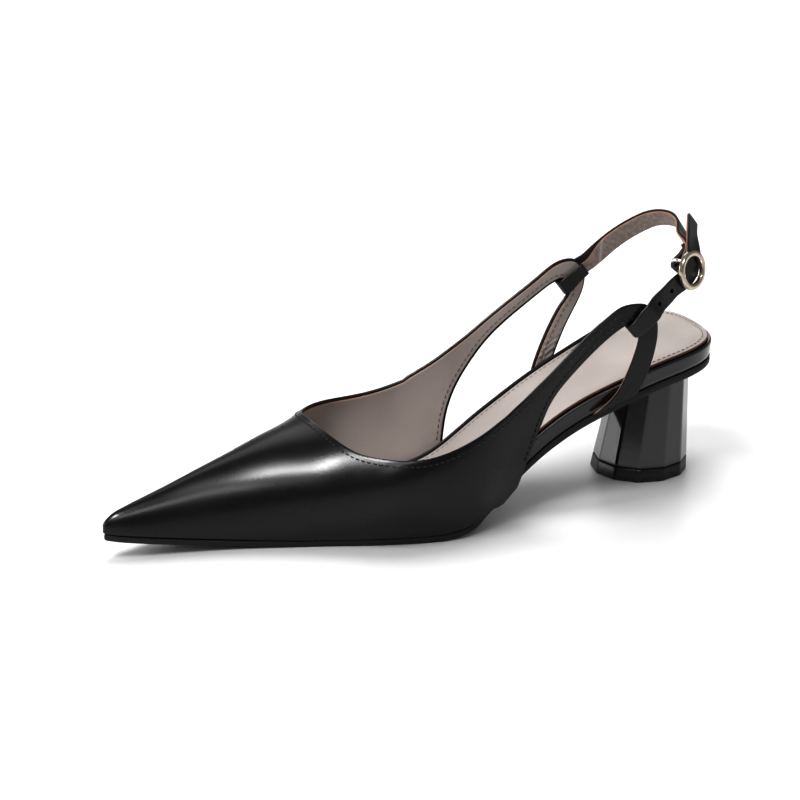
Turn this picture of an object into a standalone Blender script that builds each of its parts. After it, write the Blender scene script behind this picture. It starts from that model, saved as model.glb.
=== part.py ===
"""Left slingback pump with a pointed toe, side cut-outs and a faceted block heel.

The frame while modelling: x runs along the shoe with the toe at -x, the lateral side is -y, z is up,
and the point under the middle of the heel tip is the origin. At the end an empty carries every part
so that the world origin is under the middle of the whole shoe.
"""

import math

import bmesh
import bpy
import numpy as np
from mathutils import Matrix, Vector

MM = 0.001
GAP = 0.3 * MM
OBJECT_NAME = "slingback_pump"

# Leather and board thicknesses
UPPER_WALL = 1.5 * MM
STRAP_THICKNESS = 1.4 * MM
SOCK_LIFT = GAP + 1.0 * MM
OUTSOLE_FORE, OUTSOLE_SEAT = 2.3 * MM, 3.0 * MM
OUTSOLE_STEP = (-90.0 * MM, -20.0 * MM)
BOARD_FORE, BOARD_SEAT = 2.8 * MM, 6.2 * MM
BOARD_STEP = (-100.0 * MM, -60.0 * MM)

# Plan of the shoe
TOE_TIP = -217.0 * MM
NOSE_LENGTH = 5.0 * MM
SEAT_BACK = 26.0 * MM
SEAT_CURVE_START = -4.0 * MM
SEAT_SQUARENESS = 2.7
THROAT = -135.1 * MM
FEATHER_LIFT = 0.7 * MM
NOSE_STAND = 0.45
WING_DROP = 3.0 * MM
WING_DROP_START, WING_DROP_END = (-82.0 * MM, -74.0 * MM), (-68.0 * MM, -60.0 * MM)
OUTSOLE_PROUD_FORE, OUTSOLE_PROUD_SEAT = 1.1 * MM, -1.0 * MM
OUTSOLE_DRAWN_IN = (-90.0 * MM, -80.0 * MM)
BOARD_TAPER = 1.5 * MM
LIP_HEIGHT = 2.2 * MM
LIP_START, LIP_END = (-118.0 * MM, -98.0 * MM), (-14.0 * MM, 10.0 * MM)
SOCK_MARGIN = 1.6 * MM

# Block heel, twelve flat sides with one corner straight back
HEEL_SIDES = 12
HEEL_BASE_RADIUS = 18.6 * MM
HEEL_TOP_RADIUS = 13.2 * MM
HEEL_LEAN = 6.0 * MM
HEEL_TOP_HEIGHT = 50.0 * MM
TIP_HEIGHT = 5.0 * MM
CUTTER_REACH = 40.0 * MM

# Sling straps and round buckle
STRAP_WIDTH = 7.4 * MM
FOLD_LENGTH = 12.0 * MM
FOLD_PINCH, PINCH_LENGTH, LEG_PINCH = 0.8, 6.0 * MM, 0.66
RING_OUTER, RING_INNER, RING_DEPTH, RING_BEVEL = 7.4 * MM, 5.3 * MM, 1.8 * MM, 0.5 * MM
RING_CENTRE = Vector((7.3, -23.5, 85.2)) * MM
RING_NORMAL = Vector((0.38, -0.91, 0.15)).normalized()
TAIL_OUT = Vector((0.58, -0.80, 0.14)).normalized()
WIRE_RADIUS = 0.7 * MM
BAR_AHEAD, BAR_REACH = 0.8 * MM, 6.35 * MM
BAR_APPROACH, BAR_RETURN = 7.0 * MM, 11.0 * MM
RETURN_SETTLES = (1.0 * MM, 5.0 * MM)
SLING_ASIDE = -0.4 * MM
STRAP_LANES = 5
STRAP_STEPS = 36
STRAP_PLAY = 0.4 * MM
FOLD_RADIUS = UPPER_WALL / 2 + 1.3 * STRAP_PLAY + STRAP_THICKNESS / 2
BAR_FOLD_RADIUS = WIRE_RADIUS + STRAP_PLAY + STRAP_THICKNESS / 2
TIP_SLANT = 3.0 * MM

# Ribs of the upper along its length and points across each, and stations of the sole's layers
NOSE_RIBS, VAMP_RIBS, COLLAR_RIBS, BAND_RIBS = 6, 13, 15, 48
UPPER_ACROSS = 9
FOOTBED_STATIONS, SOCK_STATIONS, OUTSOLE_STATIONS, CUTTER_STATIONS = 56, 48, 60, 33
LEG_STEPS, TURN_STEPS, BAR_STEPS, RING_STEPS = 7, 9, 4, 36

# Height of the tread above the floor: toe spring, flat forefoot, arch and seat
TREAD_FLAT = (-150.0 * MM, -108.0 * MM)
TREAD = {
    "x": (-217, -200, -180, -165, -150, -130, -108, -95, -85, -75, -65, -55, -35, -15, 5, 27),
    "height": (6.9, 4.4, 2.0, 0.7, 0, 0, 0, 0.8, 3.3, 7.6, 13.0, 18.7, 29.1, 36.7, 41.7, 44.6),
}

# Cross-sections of the last. Edges are the y of the feather line, swell is how far the wall would
# stand out at ridge height, and the ridge behind the throat is where an instep would be.
LAST_COLUMNS = ("x", "lateral", "medial", "lateral_swell", "medial_swell", "ridge", "ridge_y")
LAST_ROWS = (
    (-217, 4.2, 5.9, 0, 0, 14.4, 5.2),
    (-208, 1.6, 8.3, 0, 0, 17.4, 5.4),
    (-195, -1.4, 12.2, 0.5, 0.5, 21.1, 5.6),
    (-180, -5.2, 16.8, 1.5, 1.5, 25.6, 5.8),
    (-165, -10.0, 21.3, 4, 4, 29.9, 5.6),
    (-150, -15.8, 25.6, 9, 9, 34.0, 4.8),
    (-138, -20.8, 29.0, 15, 14, 36.7, 3.8),
    (-125, -26.4, 31.6, 23, 21, 41.8, 2.6),
    (-110, -31.6, 30.6, 21, 23, 51.0, 1.2),
    (-97, -34.2, 24.8, 14, 26, 61.2, 0.3),
    (-84, -32.2, 18.8, 13, 31, 74, 0),
    (-70, -26.0, 16.8, 18, 32, 88, 0),
    (-55, -21.8, 16.6, 22, 32, 100, 0),
    (-40, -21.5, 17.2, 18, 26, 110, 0),
    (-20, -23.8, 19.2, 12, 20, 120, 0),
    (0, -24.6, 24.0, 8, 9, 125, 0),
)

# Topline: how far round the section, in degrees from feather edge to ridge, behind the throat
TOPLINE = {
    "behind_throat": (0, 1.1, 2.7, 5.7, 9.7, 16.1, 24.9, 32.4, 42.9, 55.9, 69.9),
    "rise": (90, 73.2, 65.2, 57.2, 51.8, 45.4, 38.8, 35.2, 31.5, 27.8, 25.5),
}

# Band from the front of the cut-out up the wing, round the apex and down the rear strap to its foot:
# x and rise of its lower edge, then x and rise of its upper edge
LATERAL_BAND = (
    (-67.5, 0.0, -76.0, 27.0),
    (-62.6, 4.9, -71.0, 26.2),
    (-59.0, 10.4, -66.0, 25.6),
    (-55.4, 15.4, -60.0, 25.3),
    (-50.6, 18.0, -54.0, 25.5),
    (-44.3, 19.4, -46.0, 26.2),
    (-37.8, 20.7, -38.0, 27.3),
    (-31.5, 21.9, -30.5, 28.1),
    (-26.4, 22.6, -24.5, 28.5),
    (-21.6, 22.6, -18.0, 26.9),
    (-18.6, 20.6, -13.4, 24.6),
    (-17.0, 17.6, -10.4, 20.6),
    (-17.4, 14.8, -9.5, 16.4),
    (-18.6, 12.0, -9.9, 12.6),
    (-20.4, 8.6, -11.2, 8.4),
    (-22.6, 5.2, -12.7, 5.0),
    (-26.0, 2.2, -14.6, 2.2),
    (-33.0, 0.0, -17.0, 0.0),
)
MEDIAL_BAND = (
    (-77.0, 0.0, -84.0, 29.6),
    (-74.8, 5.0, -79.0, 28.6),
    (-72.0, 10.4, -74.0, 27.6),
    (-67.4, 15.0, -68.0, 26.8),
    (-60.8, 18.3, -61.0, 26.2),
    (-53.5, 20.7, -53.5, 26.4),
    (-47.0, 22.0, -46.0, 27.0),
    (-40.5, 22.8, -39.0, 27.6),
    (-33.3, 23.5, -31.5, 28.4),
    (-26.4, 24.2, -24.0, 29.4),
    (-21.6, 23.8, -17.0, 28.2),
    (-18.8, 21.8, -13.0, 25.2),
    (-18.2, 19.0, -11.2, 21.0),
    (-20.4, 17.2, -12.2, 17.6),
    (-23.6, 15.4, -14.6, 14.9),
    (-29.0, 11.4, -19.2, 11.4),
    (-33.0, 7.9, -23.4, 7.9),
    (-36.0, 4.8, -27.0, 4.6),
    (-38.8, 2.0, -29.6, 2.2),
    (-45.0, 0.0, -32.0, 0.0),
)

# Straps: x, y and z of their free paths, the lean of the face and the way it turns. Behind the ring the rows
# are the share of its radius along the strap and the shift across it. A fold round a band has x and rise on
# the last, its slant and the length of its inside leg.
SLING_ROWS = (
    (-6.2, 25.4, 79.1, 10, 70),
    (-0.7, 23.4, 84.2, 18, 60),
    (4.2, 20.7, 88.4, 24, 50),
    (8.4, 17.4, 91.8, 28, 40),
    (11.9, 13.5, 94.4, 31, 30),
    (14.2, 9.2, 95.6, 31, 18),
    (15.5, 3.7, 95.9, 31, -4),
    (14.4, -2.8, 94.9, 30, -30),
    (11.4, -9.0, 92.9, 23, -52),
)
BUCKLE_STRAP_ROWS = (
    (-5.6, -26.3, 77.8, 1, -80),
    (-1.6, -25.0, 80.1, 3, -72),
)
RING_PASS = ((-0.55, 0.5), (0.05, -1.6), (0.85, 0.1))
TAIL_ROWS = ((10.1, -17.6, 96.6), (11.0, -16.0, 101.0))
FOLDS = {"medial": (-19.6, 21.7, 17, 9.5), "lateral": (-18.9, 20.55, 22, 6.5)}

COLOURS = {
    "upper": (0.012, 0.012, 0.013, 0.28, 0.0),
    "footbed": (0.015, 0.014, 0.014, 0.35, 0.0),
    "sock": (0.56, 0.50, 0.46, 0.55, 0.0),
    "outsole": (0.02, 0.02, 0.02, 0.5, 0.0),
    "heel": (0.008, 0.008, 0.009, 0.08, 0.0),
    "heel_tip": (0.012, 0.012, 0.012, 0.3, 0.0),
    "strap": (0.012, 0.012, 0.013, 0.32, 0.0),
    "gilt": (0.78, 0.68, 0.52, 0.2, 1.0),
}


def spline(xs, ys):
    """Natural cubic spline through the points, as a function of arrays of x."""
    xs, ys = np.array(xs, float), np.array(ys, float)
    step, last = np.diff(xs), len(xs) - 1
    system, right = np.eye(last + 1), np.zeros(last + 1)
    for i in range(1, last):
        system[i, i - 1 : i + 2] = step[i - 1], 2 * (step[i - 1] + step[i]), step[i]
        right[i] = 6 * ((ys[i + 1] - ys[i]) / step[i] - (ys[i] - ys[i - 1]) / step[i - 1])
    bend = np.linalg.solve(system, right)

    def value(x):
        i = np.clip(np.searchsorted(xs, x) - 1, 0, last - 1)
        ahead, behind, h = xs[i + 1] - x, x - xs[i], step[i]
        cubic = (bend[i] * ahead**3 + bend[i + 1] * behind**3) / (6 * h)
        return cubic + (ys[i] / h - bend[i] * h / 6) * ahead + (ys[i + 1] / h - bend[i + 1] * h / 6) * behind

    return value


def smooth_step(x, start, end):
    t = np.clip((x - start) / (end - start), 0, 1)
    return t * t * (3 - 2 * t)


TREAD_CURVE = spline(np.array(TREAD["x"]) * MM, np.array(TREAD["height"]) * MM)
LAST = dict(zip(LAST_COLUMNS, np.array(LAST_ROWS).T * MM))
LAST_CURVES = {name: spline(LAST["x"], LAST[name]) for name in LAST_COLUMNS[1:]}
RISE_CURVE = spline(np.sqrt(np.array(TOPLINE["behind_throat"]) * MM), TOPLINE["rise"])


def tread_height(x):
    """Underside of the outsole: the spline, flat on the floor under the ball of the foot."""
    flat = (x > TREAD_FLAT[0]) & (x < TREAD_FLAT[1])
    return np.where(flat, 0, np.maximum(TREAD_CURVE(x), 0))


def upright(x):
    """Cosine of the sole's slope, which turns a thickness into a height."""
    slope = (tread_height(x + MM / 2) - tread_height(x - MM / 2)) / MM
    return 1 / np.sqrt(1 + slope**2)


def outsole_top(x):
    thickness = OUTSOLE_FORE + (OUTSOLE_SEAT - OUTSOLE_FORE) * smooth_step(x, *OUTSOLE_STEP)
    return tread_height(x) + thickness / upright(x)


def board_bottom(x):
    return outsole_top(x) + GAP / upright(x)


def board_top(x):
    thickness = BOARD_FORE + (BOARD_SEAT - BOARD_FORE) * smooth_step(x, *BOARD_STEP)
    return board_bottom(x) + thickness / upright(x)


def nose_cap(x):
    """Rounds the last off over its first few millimetres: a quarter circle from tip to full size."""
    t = np.clip((x - TOE_TIP) / NOSE_LENGTH, 0, 1)
    return np.sqrt(1 - (1 - t) ** 2)


def wing_drop(x, sine):
    """How far the lateral wall reaches down over the sole's edge just ahead of the cut-out."""
    reach = smooth_step(x, *WING_DROP_START) * (1 - smooth_step(x, *WING_DROP_END))
    return WING_DROP * reach * (1 - sine) ** 4


def last_point(x, side, rise):
    """Point of the last: a half ellipse from feather edge (rise 0) to ridge (90) that swells outwards."""
    ridge_y = LAST_CURVES["ridge_y"](x)
    name = "lateral" if side < 0 else "medial"
    half_width = side * (LAST_CURVES[name](x) - ridge_y)
    swell = LAST_CURVES[name + "_swell"](x)
    foot = board_bottom(x) + FEATHER_LIFT
    sine, cosine = np.sin(np.radians(rise)), np.cos(np.radians(rise))
    y = ridge_y + side * (half_width + swell * sine) * cosine * nose_cap(x)
    stand = NOSE_STAND + (1 - NOSE_STAND) * nose_cap(x)
    z = foot + (LAST_CURVES["ridge"](x) - foot) * sine * stand
    if side < 0:
        z = z - wing_drop(x, sine)
    return np.stack(np.broadcast_arrays(x, y, z), axis=-1)


def topline_rise(x):
    """90 degrees along the ridge ahead of the throat, then the topline."""
    behind = np.maximum(x - THROAT, 0)
    return np.where(behind > 0, RISE_CURVE(np.sqrt(behind)), 90)


def outline(x, inset):
    """Lateral and medial y of a sole layer that lies inset inside the feather line."""
    lateral, medial = LAST_CURVES["lateral"](x) + inset, LAST_CURVES["medial"](x) - inset
    middle = (lateral + medial) / 2
    reach = SEAT_BACK - inset - SEAT_CURVE_START
    back = np.clip((x - SEAT_CURVE_START) / reach, 0, 1)
    round_back = (1 - back**SEAT_SQUARENESS) ** (1 / SEAT_SQUARENESS)
    nose = np.clip((x - TOE_TIP - inset) / NOSE_LENGTH, 0, 1)
    round_nose = np.sqrt(1 - (1 - nose) ** 2)
    scale = round_back * round_nose
    return middle + (lateral - middle) * scale, middle + (medial - middle) * scale


def sole_stations(inset, count):
    """x stations from toe to seat back, closer together round both ends."""
    turn = np.linspace(0.06, math.pi - 0.03, count)
    start, end = TOE_TIP + inset(TOE_TIP), SEAT_BACK - inset(SEAT_BACK)
    return start + (end - start) * (1 - np.cos(turn)) / 2


def material(name):
    red, green, blue, roughness, metallic = COLOURS[name]
    made = bpy.data.materials.get(name) or bpy.data.materials.new(name)
    made.use_nodes = True
    shader = made.node_tree.nodes["Principled BSDF"]
    shader.inputs["Base Color"].default_value = (red, green, blue, 1)
    shader.inputs["Roughness"].default_value = roughness
    shader.inputs["Metallic"].default_value = metallic
    return made


def add_part(name, bm, finish, collection):
    """A mesh object from bm, with doubles merged, in the collection."""
    bmesh.ops.remove_doubles(bm, verts=bm.verts, dist=0.005 * MM)
    mesh = bpy.data.meshes.new(name)
    bm.to_mesh(mesh)
    bm.free()
    part = bpy.data.objects.new(name, mesh)
    mesh.materials.append(material(finish))
    collection.objects.link(part)
    return part


def add_grid(bm, points, flip=False):
    """Quads over a rows x columns x 3 array of points."""
    rows, columns = points.shape[:2]
    verts = [[bm.verts.new(point) for point in row] for row in points]
    for i in range(rows - 1):
        for j in range(columns - 1):
            corners = [verts[i][j], verts[i + 1][j], verts[i + 1][j + 1], verts[i][j + 1]]
            bm.faces.new(corners[::-1] if flip else corners)


def thicken(part, thickness, offset):
    """Solidify an open surface; offset 1 puts all of the wall on the outer side, 0 centres it."""
    wall = part.modifiers.new("wall", "SOLIDIFY")
    wall.thickness = thickness
    wall.offset = offset
    wall.use_even_offset = True
    wall.use_quality_normals = True


def loft(name, loops, finish, collection):
    """Closed solid through section loops of equal length, with its two ends filled."""
    bm = bmesh.new()
    add_grid(bm, np.concatenate([loops, loops[:, :1]], axis=1))
    bmesh.ops.remove_doubles(bm, verts=bm.verts, dist=0.005 * MM)
    bmesh.ops.holes_fill(bm, edges=[edge for edge in bm.edges if edge.is_boundary])
    bmesh.ops.recalc_face_normals(bm, faces=bm.faces)
    if bm.calc_volume(signed=True) < 0:
        bmesh.ops.reverse_faces(bm, faces=bm.faces)
    return add_part(name, bm, finish, collection)


def band_ribs(side):
    """Lower and upper (x, rise) of the ribs along one side, from the toe to the foot of the rear strap."""
    band = np.array(LATERAL_BAND if side < 0 else MEDIAL_BAND)
    rows = np.arange(len(band))
    fine = np.linspace(0, len(band) - 1, BAND_RIBS)
    lower_x, lower_rise, upper_x, upper_rise = (spline(rows, column)(fine) for column in band.T)
    turn = np.linspace(0, math.pi / 2, NOSE_RIBS + 1)[:-1]
    nose = TOE_TIP + NOSE_LENGTH * (1 - np.cos(turn))
    vamp = np.linspace(TOE_TIP + NOSE_LENGTH, THROAT, VAMP_RIBS + 1)[:-1]
    corner = band[0] * MM
    back = np.linspace(0, 1, COLLAR_RIBS + 1)[:-1]
    throat_x = THROAT + (corner[2] - THROAT) * back**2
    feather_x = THROAT + (corner[0] - THROAT) * (0.35 * back + 0.65 * back**2)
    fore_lower = np.concatenate([nose, vamp, feather_x])
    fore_upper = np.concatenate([nose, vamp, throat_x])
    lower = np.stack([fore_lower, 0 * fore_lower], axis=1)
    upper = np.stack([fore_upper, topline_rise(fore_upper)], axis=1)
    lower = np.concatenate([lower, np.stack([lower_x * MM, np.maximum(lower_rise, 0)], axis=1)])
    upper = np.concatenate([upper, np.stack([upper_x * MM, np.maximum(upper_rise, 0)], axis=1)])
    return lower, upper


def build_upper(collection):
    """One hollow leather wall: both sides joined along the ridge, from pointed toe to rear strap feet."""
    bm = bmesh.new()
    across = np.linspace(0, 1, UPPER_ACROSS)
    for side in (-1, 1):
        lower, upper = band_ribs(side)
        chart = lower[:, None] + (upper - lower)[:, None] * across[:, None]
        points = last_point(chart[..., 0], side, chart[..., 1])
        add_grid(bm, points, flip=side > 0)
    part = add_part("upper", bm, "upper", collection)
    thicken(part, UPPER_WALL, 1)
    part.data.shade_smooth()
    return part


def sole_layer(name, levels, count, collection):
    """Layer of the sole: levels, from its bottom up, are functions for inset, lateral and medial height."""
    near_sides, far_sides = [], []
    for inset, near_height, far_height in levels:
        x = sole_stations(inset, count)
        near, far = outline(x, inset(x))
        near_sides.append(np.stack([x, near, near_height(x)], axis=1))
        far_sides.append(np.stack([x, far, far_height(x)], axis=1))
    return loft(name, np.stack(near_sides + far_sides[::-1], axis=1), name, collection)


def constant(value):
    return lambda x: value + 0 * x


def between(low, high, share):
    return lambda x: low(x) + (high(x) - low(x)) * share


def raised(height, share):
    """A height lifted by a share of the lip, which stands up along the medial edge of the arch."""

    def lifted(x):
        lip = LIP_HEIGHT * smooth_step(x, *LIP_START) * (1 - smooth_step(x, *LIP_END))
        return height(x) + lip * share / upright(x)

    return lifted


def build_footbed(collection):
    """Wrapped board: its edge leans in below, and the wrap stands up in a lip on the medial side."""
    rows = (
        (BOARD_TAPER + 0.4 * MM, 0, 0),
        (BOARD_TAPER, 0.08, 0),
        (0.35 * BOARD_TAPER, 0.62, 0),
        (0, 0.84, 0.3),
        (0.1 * MM, 0.94, 0.9),
        (0.45 * MM, 1, 1),
        (0.85 * MM, 1, 0.85),
        (0.95 * MM, 1, 0),
    )
    levels = []
    for inset, share, lip in rows:
        height = between(board_bottom, board_top, share)
        levels.append((constant(2 * GAP + inset), height, raised(height, lip)))
    return sole_layer("footbed", levels, FOOTBED_STATIONS, collection)


def sock_height(share):
    """A share of the way up the sock, which lies just above the board."""
    return lambda x: board_top(x) + (GAP + (SOCK_LIFT - GAP) * share) / upright(x)


def build_sock(collection):
    """Lining sock on the footbed, from toe to seat."""
    rows = ((0, 0), (0, 0.6), (0.4 * MM, 1))
    levels = []
    for inset, share in rows:
        levels.append((constant(GAP + SOCK_MARGIN + inset), sock_height(share), sock_height(share)))
    return sole_layer("sock", levels, SOCK_STATIONS, collection)


def outsole_inset(more):
    """A little proud of the feather line at the forefoot, drawn in under the footbed behind."""
    step = OUTSOLE_PROUD_SEAT - OUTSOLE_PROUD_FORE
    return lambda x: more - OUTSOLE_PROUD_FORE - step * smooth_step(x, *OUTSOLE_DRAWN_IN)


def build_outsole(collection):
    """Thin outsole with its lower edge eased."""
    rows = ((0.5 * MM, 0), (0, 0.25), (0, 1))
    levels = []
    for more, share in rows:
        height = between(tread_height, outsole_top, share)
        levels.append((outsole_inset(more), height, height))
    return sole_layer("outsole", levels, OUTSOLE_STATIONS, collection)


def heel_ring(height, radius, lean):
    """Twelve corners of the heel at a height, one of them straight back."""
    turn = np.arange(HEEL_SIDES) * 2 * math.pi / HEEL_SIDES
    return np.stack([radius * np.cos(turn) + lean, radius * np.sin(turn), 0 * turn + height], axis=1)


def heel_at(height):
    share = height / HEEL_TOP_HEIGHT
    radius = HEEL_BASE_RADIUS + (HEEL_TOP_RADIUS - HEEL_BASE_RADIUS) * share
    return heel_ring(height, radius, HEEL_LEAN * share)


def build_heel(collection, cutters):
    """Tapering, leaning twelve-sided block, cut at the top by the underside of the outsole."""
    loops = np.array([heel_at(TIP_HEIGHT + GAP), heel_at(HEEL_TOP_HEIGHT)])
    heel = loft("heel", loops, "heel", collection)
    reach = CUTTER_REACH
    slabs = []
    for x in np.linspace(-reach, reach, CUTTER_STATIONS):
        low = float(tread_height(min(x, SEAT_BACK))) - GAP / float(upright(min(x, SEAT_BACK)))
        slabs.append([(x, -reach, low), (x, reach, low), (x, reach, 2 * reach), (x, -reach, 2 * reach)])
    cutter = loft("above_heel", np.array(slabs), "heel", cutters)
    cutter.hide_render = True
    cutter.display_type = "WIRE"
    trim = heel.modifiers.new("seat", "BOOLEAN")
    trim.operation = "DIFFERENCE"
    trim.object = cutter
    tip = loft("heel_tip", np.array([heel_at(0), heel_at(TIP_HEIGHT)]), "heel_tip", collection)
    return [heel, tip]


def wall_at(side, x, rise):
    """Middle of the upper's wall and its outward normal."""
    along = last_point(x + MM, side, rise) - last_point(x - MM, side, rise)
    climb = last_point(x, side, rise + 1.0) - last_point(x, side, rise - 1.0)
    normal = np.cross(along, climb) * -side
    normal /= np.linalg.norm(normal, axis=-1, keepdims=True)
    return last_point(x, side, rise) + normal * UPPER_WALL / 2, normal


def fold_grid(side):
    """Strap hooked round its band: inside leg, half turn in the cut-out and outside leg, on the wall."""
    x, rise, slant, inner_leg = FOLDS["medial" if side > 0 else "lateral"]
    x, slant, inner_leg = x * MM, math.radians(slant), inner_leg * MM
    along = (last_point(x + MM, side, rise) - last_point(x - MM, side, rise)) / (2 * MM)
    climb = (last_point(x, side, rise + 1.0) - last_point(x, side, rise - 1.0)) / 2
    skew = climb @ along / (along @ along)
    climb = climb - skew * along
    lanes = np.linspace(-0.5, 0.5, STRAP_LANES) * STRAP_WIDTH
    along_length, climb_length = np.linalg.norm(along), np.linalg.norm(climb)
    direction = along / along_length * math.cos(slant) + climb / climb_length * math.sin(slant)

    def over(s, end_pinch):
        s = s[:, None]
        wide = lanes * (FOLD_PINCH + (end_pinch - FOLD_PINCH) * smooth_step(s, 0, PINCH_LENGTH))
        forward = s * math.cos(slant) - wide * math.sin(slant)
        climbed = (s * math.sin(slant) + wide * math.cos(slant)) / climb_length
        return wall_at(side, x + forward / along_length - climbed * skew, rise + climbed)

    def apart(s):
        shut = STRAP_THICKNESS / 2 + GAP / 2
        past = smooth_step(s, 0.7 * FOLD_LENGTH, FOLD_LENGTH)
        return (FOLD_RADIUS + (shut - FOLD_RADIUS) * past)[:, None, None]

    into, out_of = np.linspace(inner_leg, 0, LEG_STEPS)[:-1], np.linspace(0, FOLD_LENGTH, LEG_STEPS)[1:]
    angle = np.linspace(0, math.pi, TURN_STEPS)[:, None, None]
    (inner, inner_normal), (outer, outer_normal) = over(into, LEG_PINCH), over(out_of, 1)
    edge, edge_normal = over(np.zeros(1), 1)
    turn = edge - FOLD_RADIUS * (edge_normal * np.cos(angle) + direction * np.sin(angle))
    grid = [inner - inner_normal * apart(into), turn, outer + outer_normal * apart(out_of)]
    return np.concatenate(grid), outer_normal[-2:].mean(axis=1)


def strap_rows(path, faces_out):
    """Rows of points across a flat strap along a path; faces_out is the outward side of each row."""
    tangent = np.gradient(path, axis=0)
    across = np.cross(tangent, faces_out)
    across /= np.linalg.norm(across, axis=1, keepdims=True)
    lanes = np.linspace(-0.5, 0.5, STRAP_LANES) * STRAP_WIDTH
    return path[:, None] + across[:, None] * lanes[:, None]


def outward(rows):
    """Outward side of each strap row, from the way it turns and its lean."""
    lean, turn = np.radians(np.array(rows, float)[:, 3:].T)
    return np.stack([np.cos(turn) * np.cos(lean), np.sin(turn) * np.cos(lean), np.sin(lean)], axis=1)


def build_strap(name, side, free, free_out, end, collection):
    """Strap from its fold at the upper, along a free path, to an end grid or a slanted tip."""
    hook, hook_out = fold_grid(side)
    start = hook[-2:].mean(axis=1)
    ending, ending_out = end
    bend = np.concatenate([start, free, ending[:2]])
    bend_out = np.concatenate([hook_out, free_out, ending_out[:2]])
    chord = np.concatenate([[0], np.cumsum(np.linalg.norm(np.diff(bend, axis=0), axis=1))])
    even = np.linspace(0, chord[-1], STRAP_STEPS)
    path = np.stack([spline(chord, column)(even) for column in bend.T], axis=1)
    faces_out = np.stack([np.interp(even, chord, column) for column in bend_out.T], axis=1)
    path, faces_out = np.concatenate([path, ending[2:]]), np.concatenate([faces_out, ending_out[2:]])
    if len(ending):
        path, faces_out = lay_back(path, faces_out)
    rows = strap_rows(path, faces_out)
    if (hook[-1, -1] - hook[-1, 0]) @ (rows[1, -1] - rows[1, 0]) < 0:
        rows = rows[:, ::-1]
    if len(ending) == 0:
        lanes = np.linspace(0, 1, STRAP_LANES)
        ahead = path[-1] - path[-2]
        rows[-1] += ahead / np.linalg.norm(ahead) * TIP_SLANT * lanes[:, None]
    bm = bmesh.new()
    add_grid(bm, np.concatenate([hook[:-2], rows]))
    strap = add_part(name, bm, "strap", collection)
    thicken(strap, STRAP_THICKNESS, 0)
    strap.data.shade_smooth()
    return strap


def build_straps(collection):
    """Sling strap from the medial fold round the heel to the bar, and buckle strap from the lateral fold."""
    ring = ring_frame()
    sling = np.array(SLING_ROWS)[:, :3] * MM
    sling_strap = build_strap("sling_strap", 1, sling, outward(SLING_ROWS), bar_fold(ring), collection)
    near, tail = np.array(BUCKLE_STRAP_ROWS)[:, :3] * MM, np.array(TAIL_ROWS) * MM
    spread, aside = np.array(RING_PASS)[:, :1] * RING_OUTER, np.array(RING_PASS)[:, 1:] * MM
    behind_ring = ring["centre"] + ring["normal"] * ring["strap_depth"] + ring["along"] * spread
    behind_ring += ring["across"] * aside
    free = np.concatenate([near, behind_ring, tail])
    free_out = np.concatenate([outward(BUCKLE_STRAP_ROWS), ring["normal"] + 0 * spread, [TAIL_OUT, TAIL_OUT]])
    loose = np.empty((0, 3)), np.empty((0, 3))
    return [sling_strap, build_strap("buckle_strap", -1, free, free_out, loose, collection)]


def ring_frame():
    """Axes of the buckle: normal outwards, along the strap that passes behind it, and across that strap."""
    normal = np.array(RING_NORMAL)
    along = np.array(TAIL_ROWS[0]) - np.array(BUCKLE_STRAP_ROWS[-1])[:3]
    along -= normal * (along @ normal)
    along /= np.linalg.norm(along)
    strap_depth = -(RING_DEPTH / 2 + STRAP_PLAY + STRAP_THICKNESS / 2)
    bar_depth = strap_depth - 1.5 * STRAP_THICKNESS - 2 * STRAP_PLAY - WIRE_RADIUS
    return {
        "centre": np.array(RING_CENTRE),
        "normal": normal,
        "along": along,
        "across": np.cross(normal, along),
        "strap_depth": strap_depth,
        "bar_depth": bar_depth,
    }


def bar_fold(ring):
    """End of the sling strap: along the outer side of the bar and half round it."""
    normal, along = ring["normal"], ring["along"]
    bar = ring["centre"] + along * BAR_AHEAD + normal * ring["bar_depth"] + ring["across"] * SLING_ASIDE
    ahead = np.linspace(BAR_APPROACH, 0, BAR_STEPS)[:-1, None]
    angle = np.linspace(0, math.pi, TURN_STEPS)[:, None]
    round_bar = normal * np.cos(angle) - along * np.sin(angle)
    path = [bar + normal * BAR_FOLD_RADIUS + along * ahead, bar + round_bar * BAR_FOLD_RADIUS]
    return np.concatenate(path), np.concatenate([normal + 0 * ahead, round_bar])


def lay_back(path, faces_out):
    """Folded end past the bar: the strap's own path read backwards, moved in until it lies on the strap."""
    turn = len(path) - TURN_STEPS
    back = path[turn - 1::-1]
    outside = faces_out[turn - 1::-1]
    outside = outside / np.linalg.norm(outside, axis=1, keepdims=True)
    reach = np.cumsum(np.linalg.norm(np.diff(path[turn::-1], axis=0), axis=1))[:, None]
    settled = 2 * BAR_FOLD_RADIUS - STRAP_THICKNESS - GAP
    inward = 2 * BAR_FOLD_RADIUS - settled * smooth_step(reach, *RETURN_SETTLES)
    near = reach[:, 0] < BAR_RETURN
    returned = back[near] - outside[near] * inward[near]
    return np.concatenate([path, returned]), np.concatenate([faces_out, -outside[near]])


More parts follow.
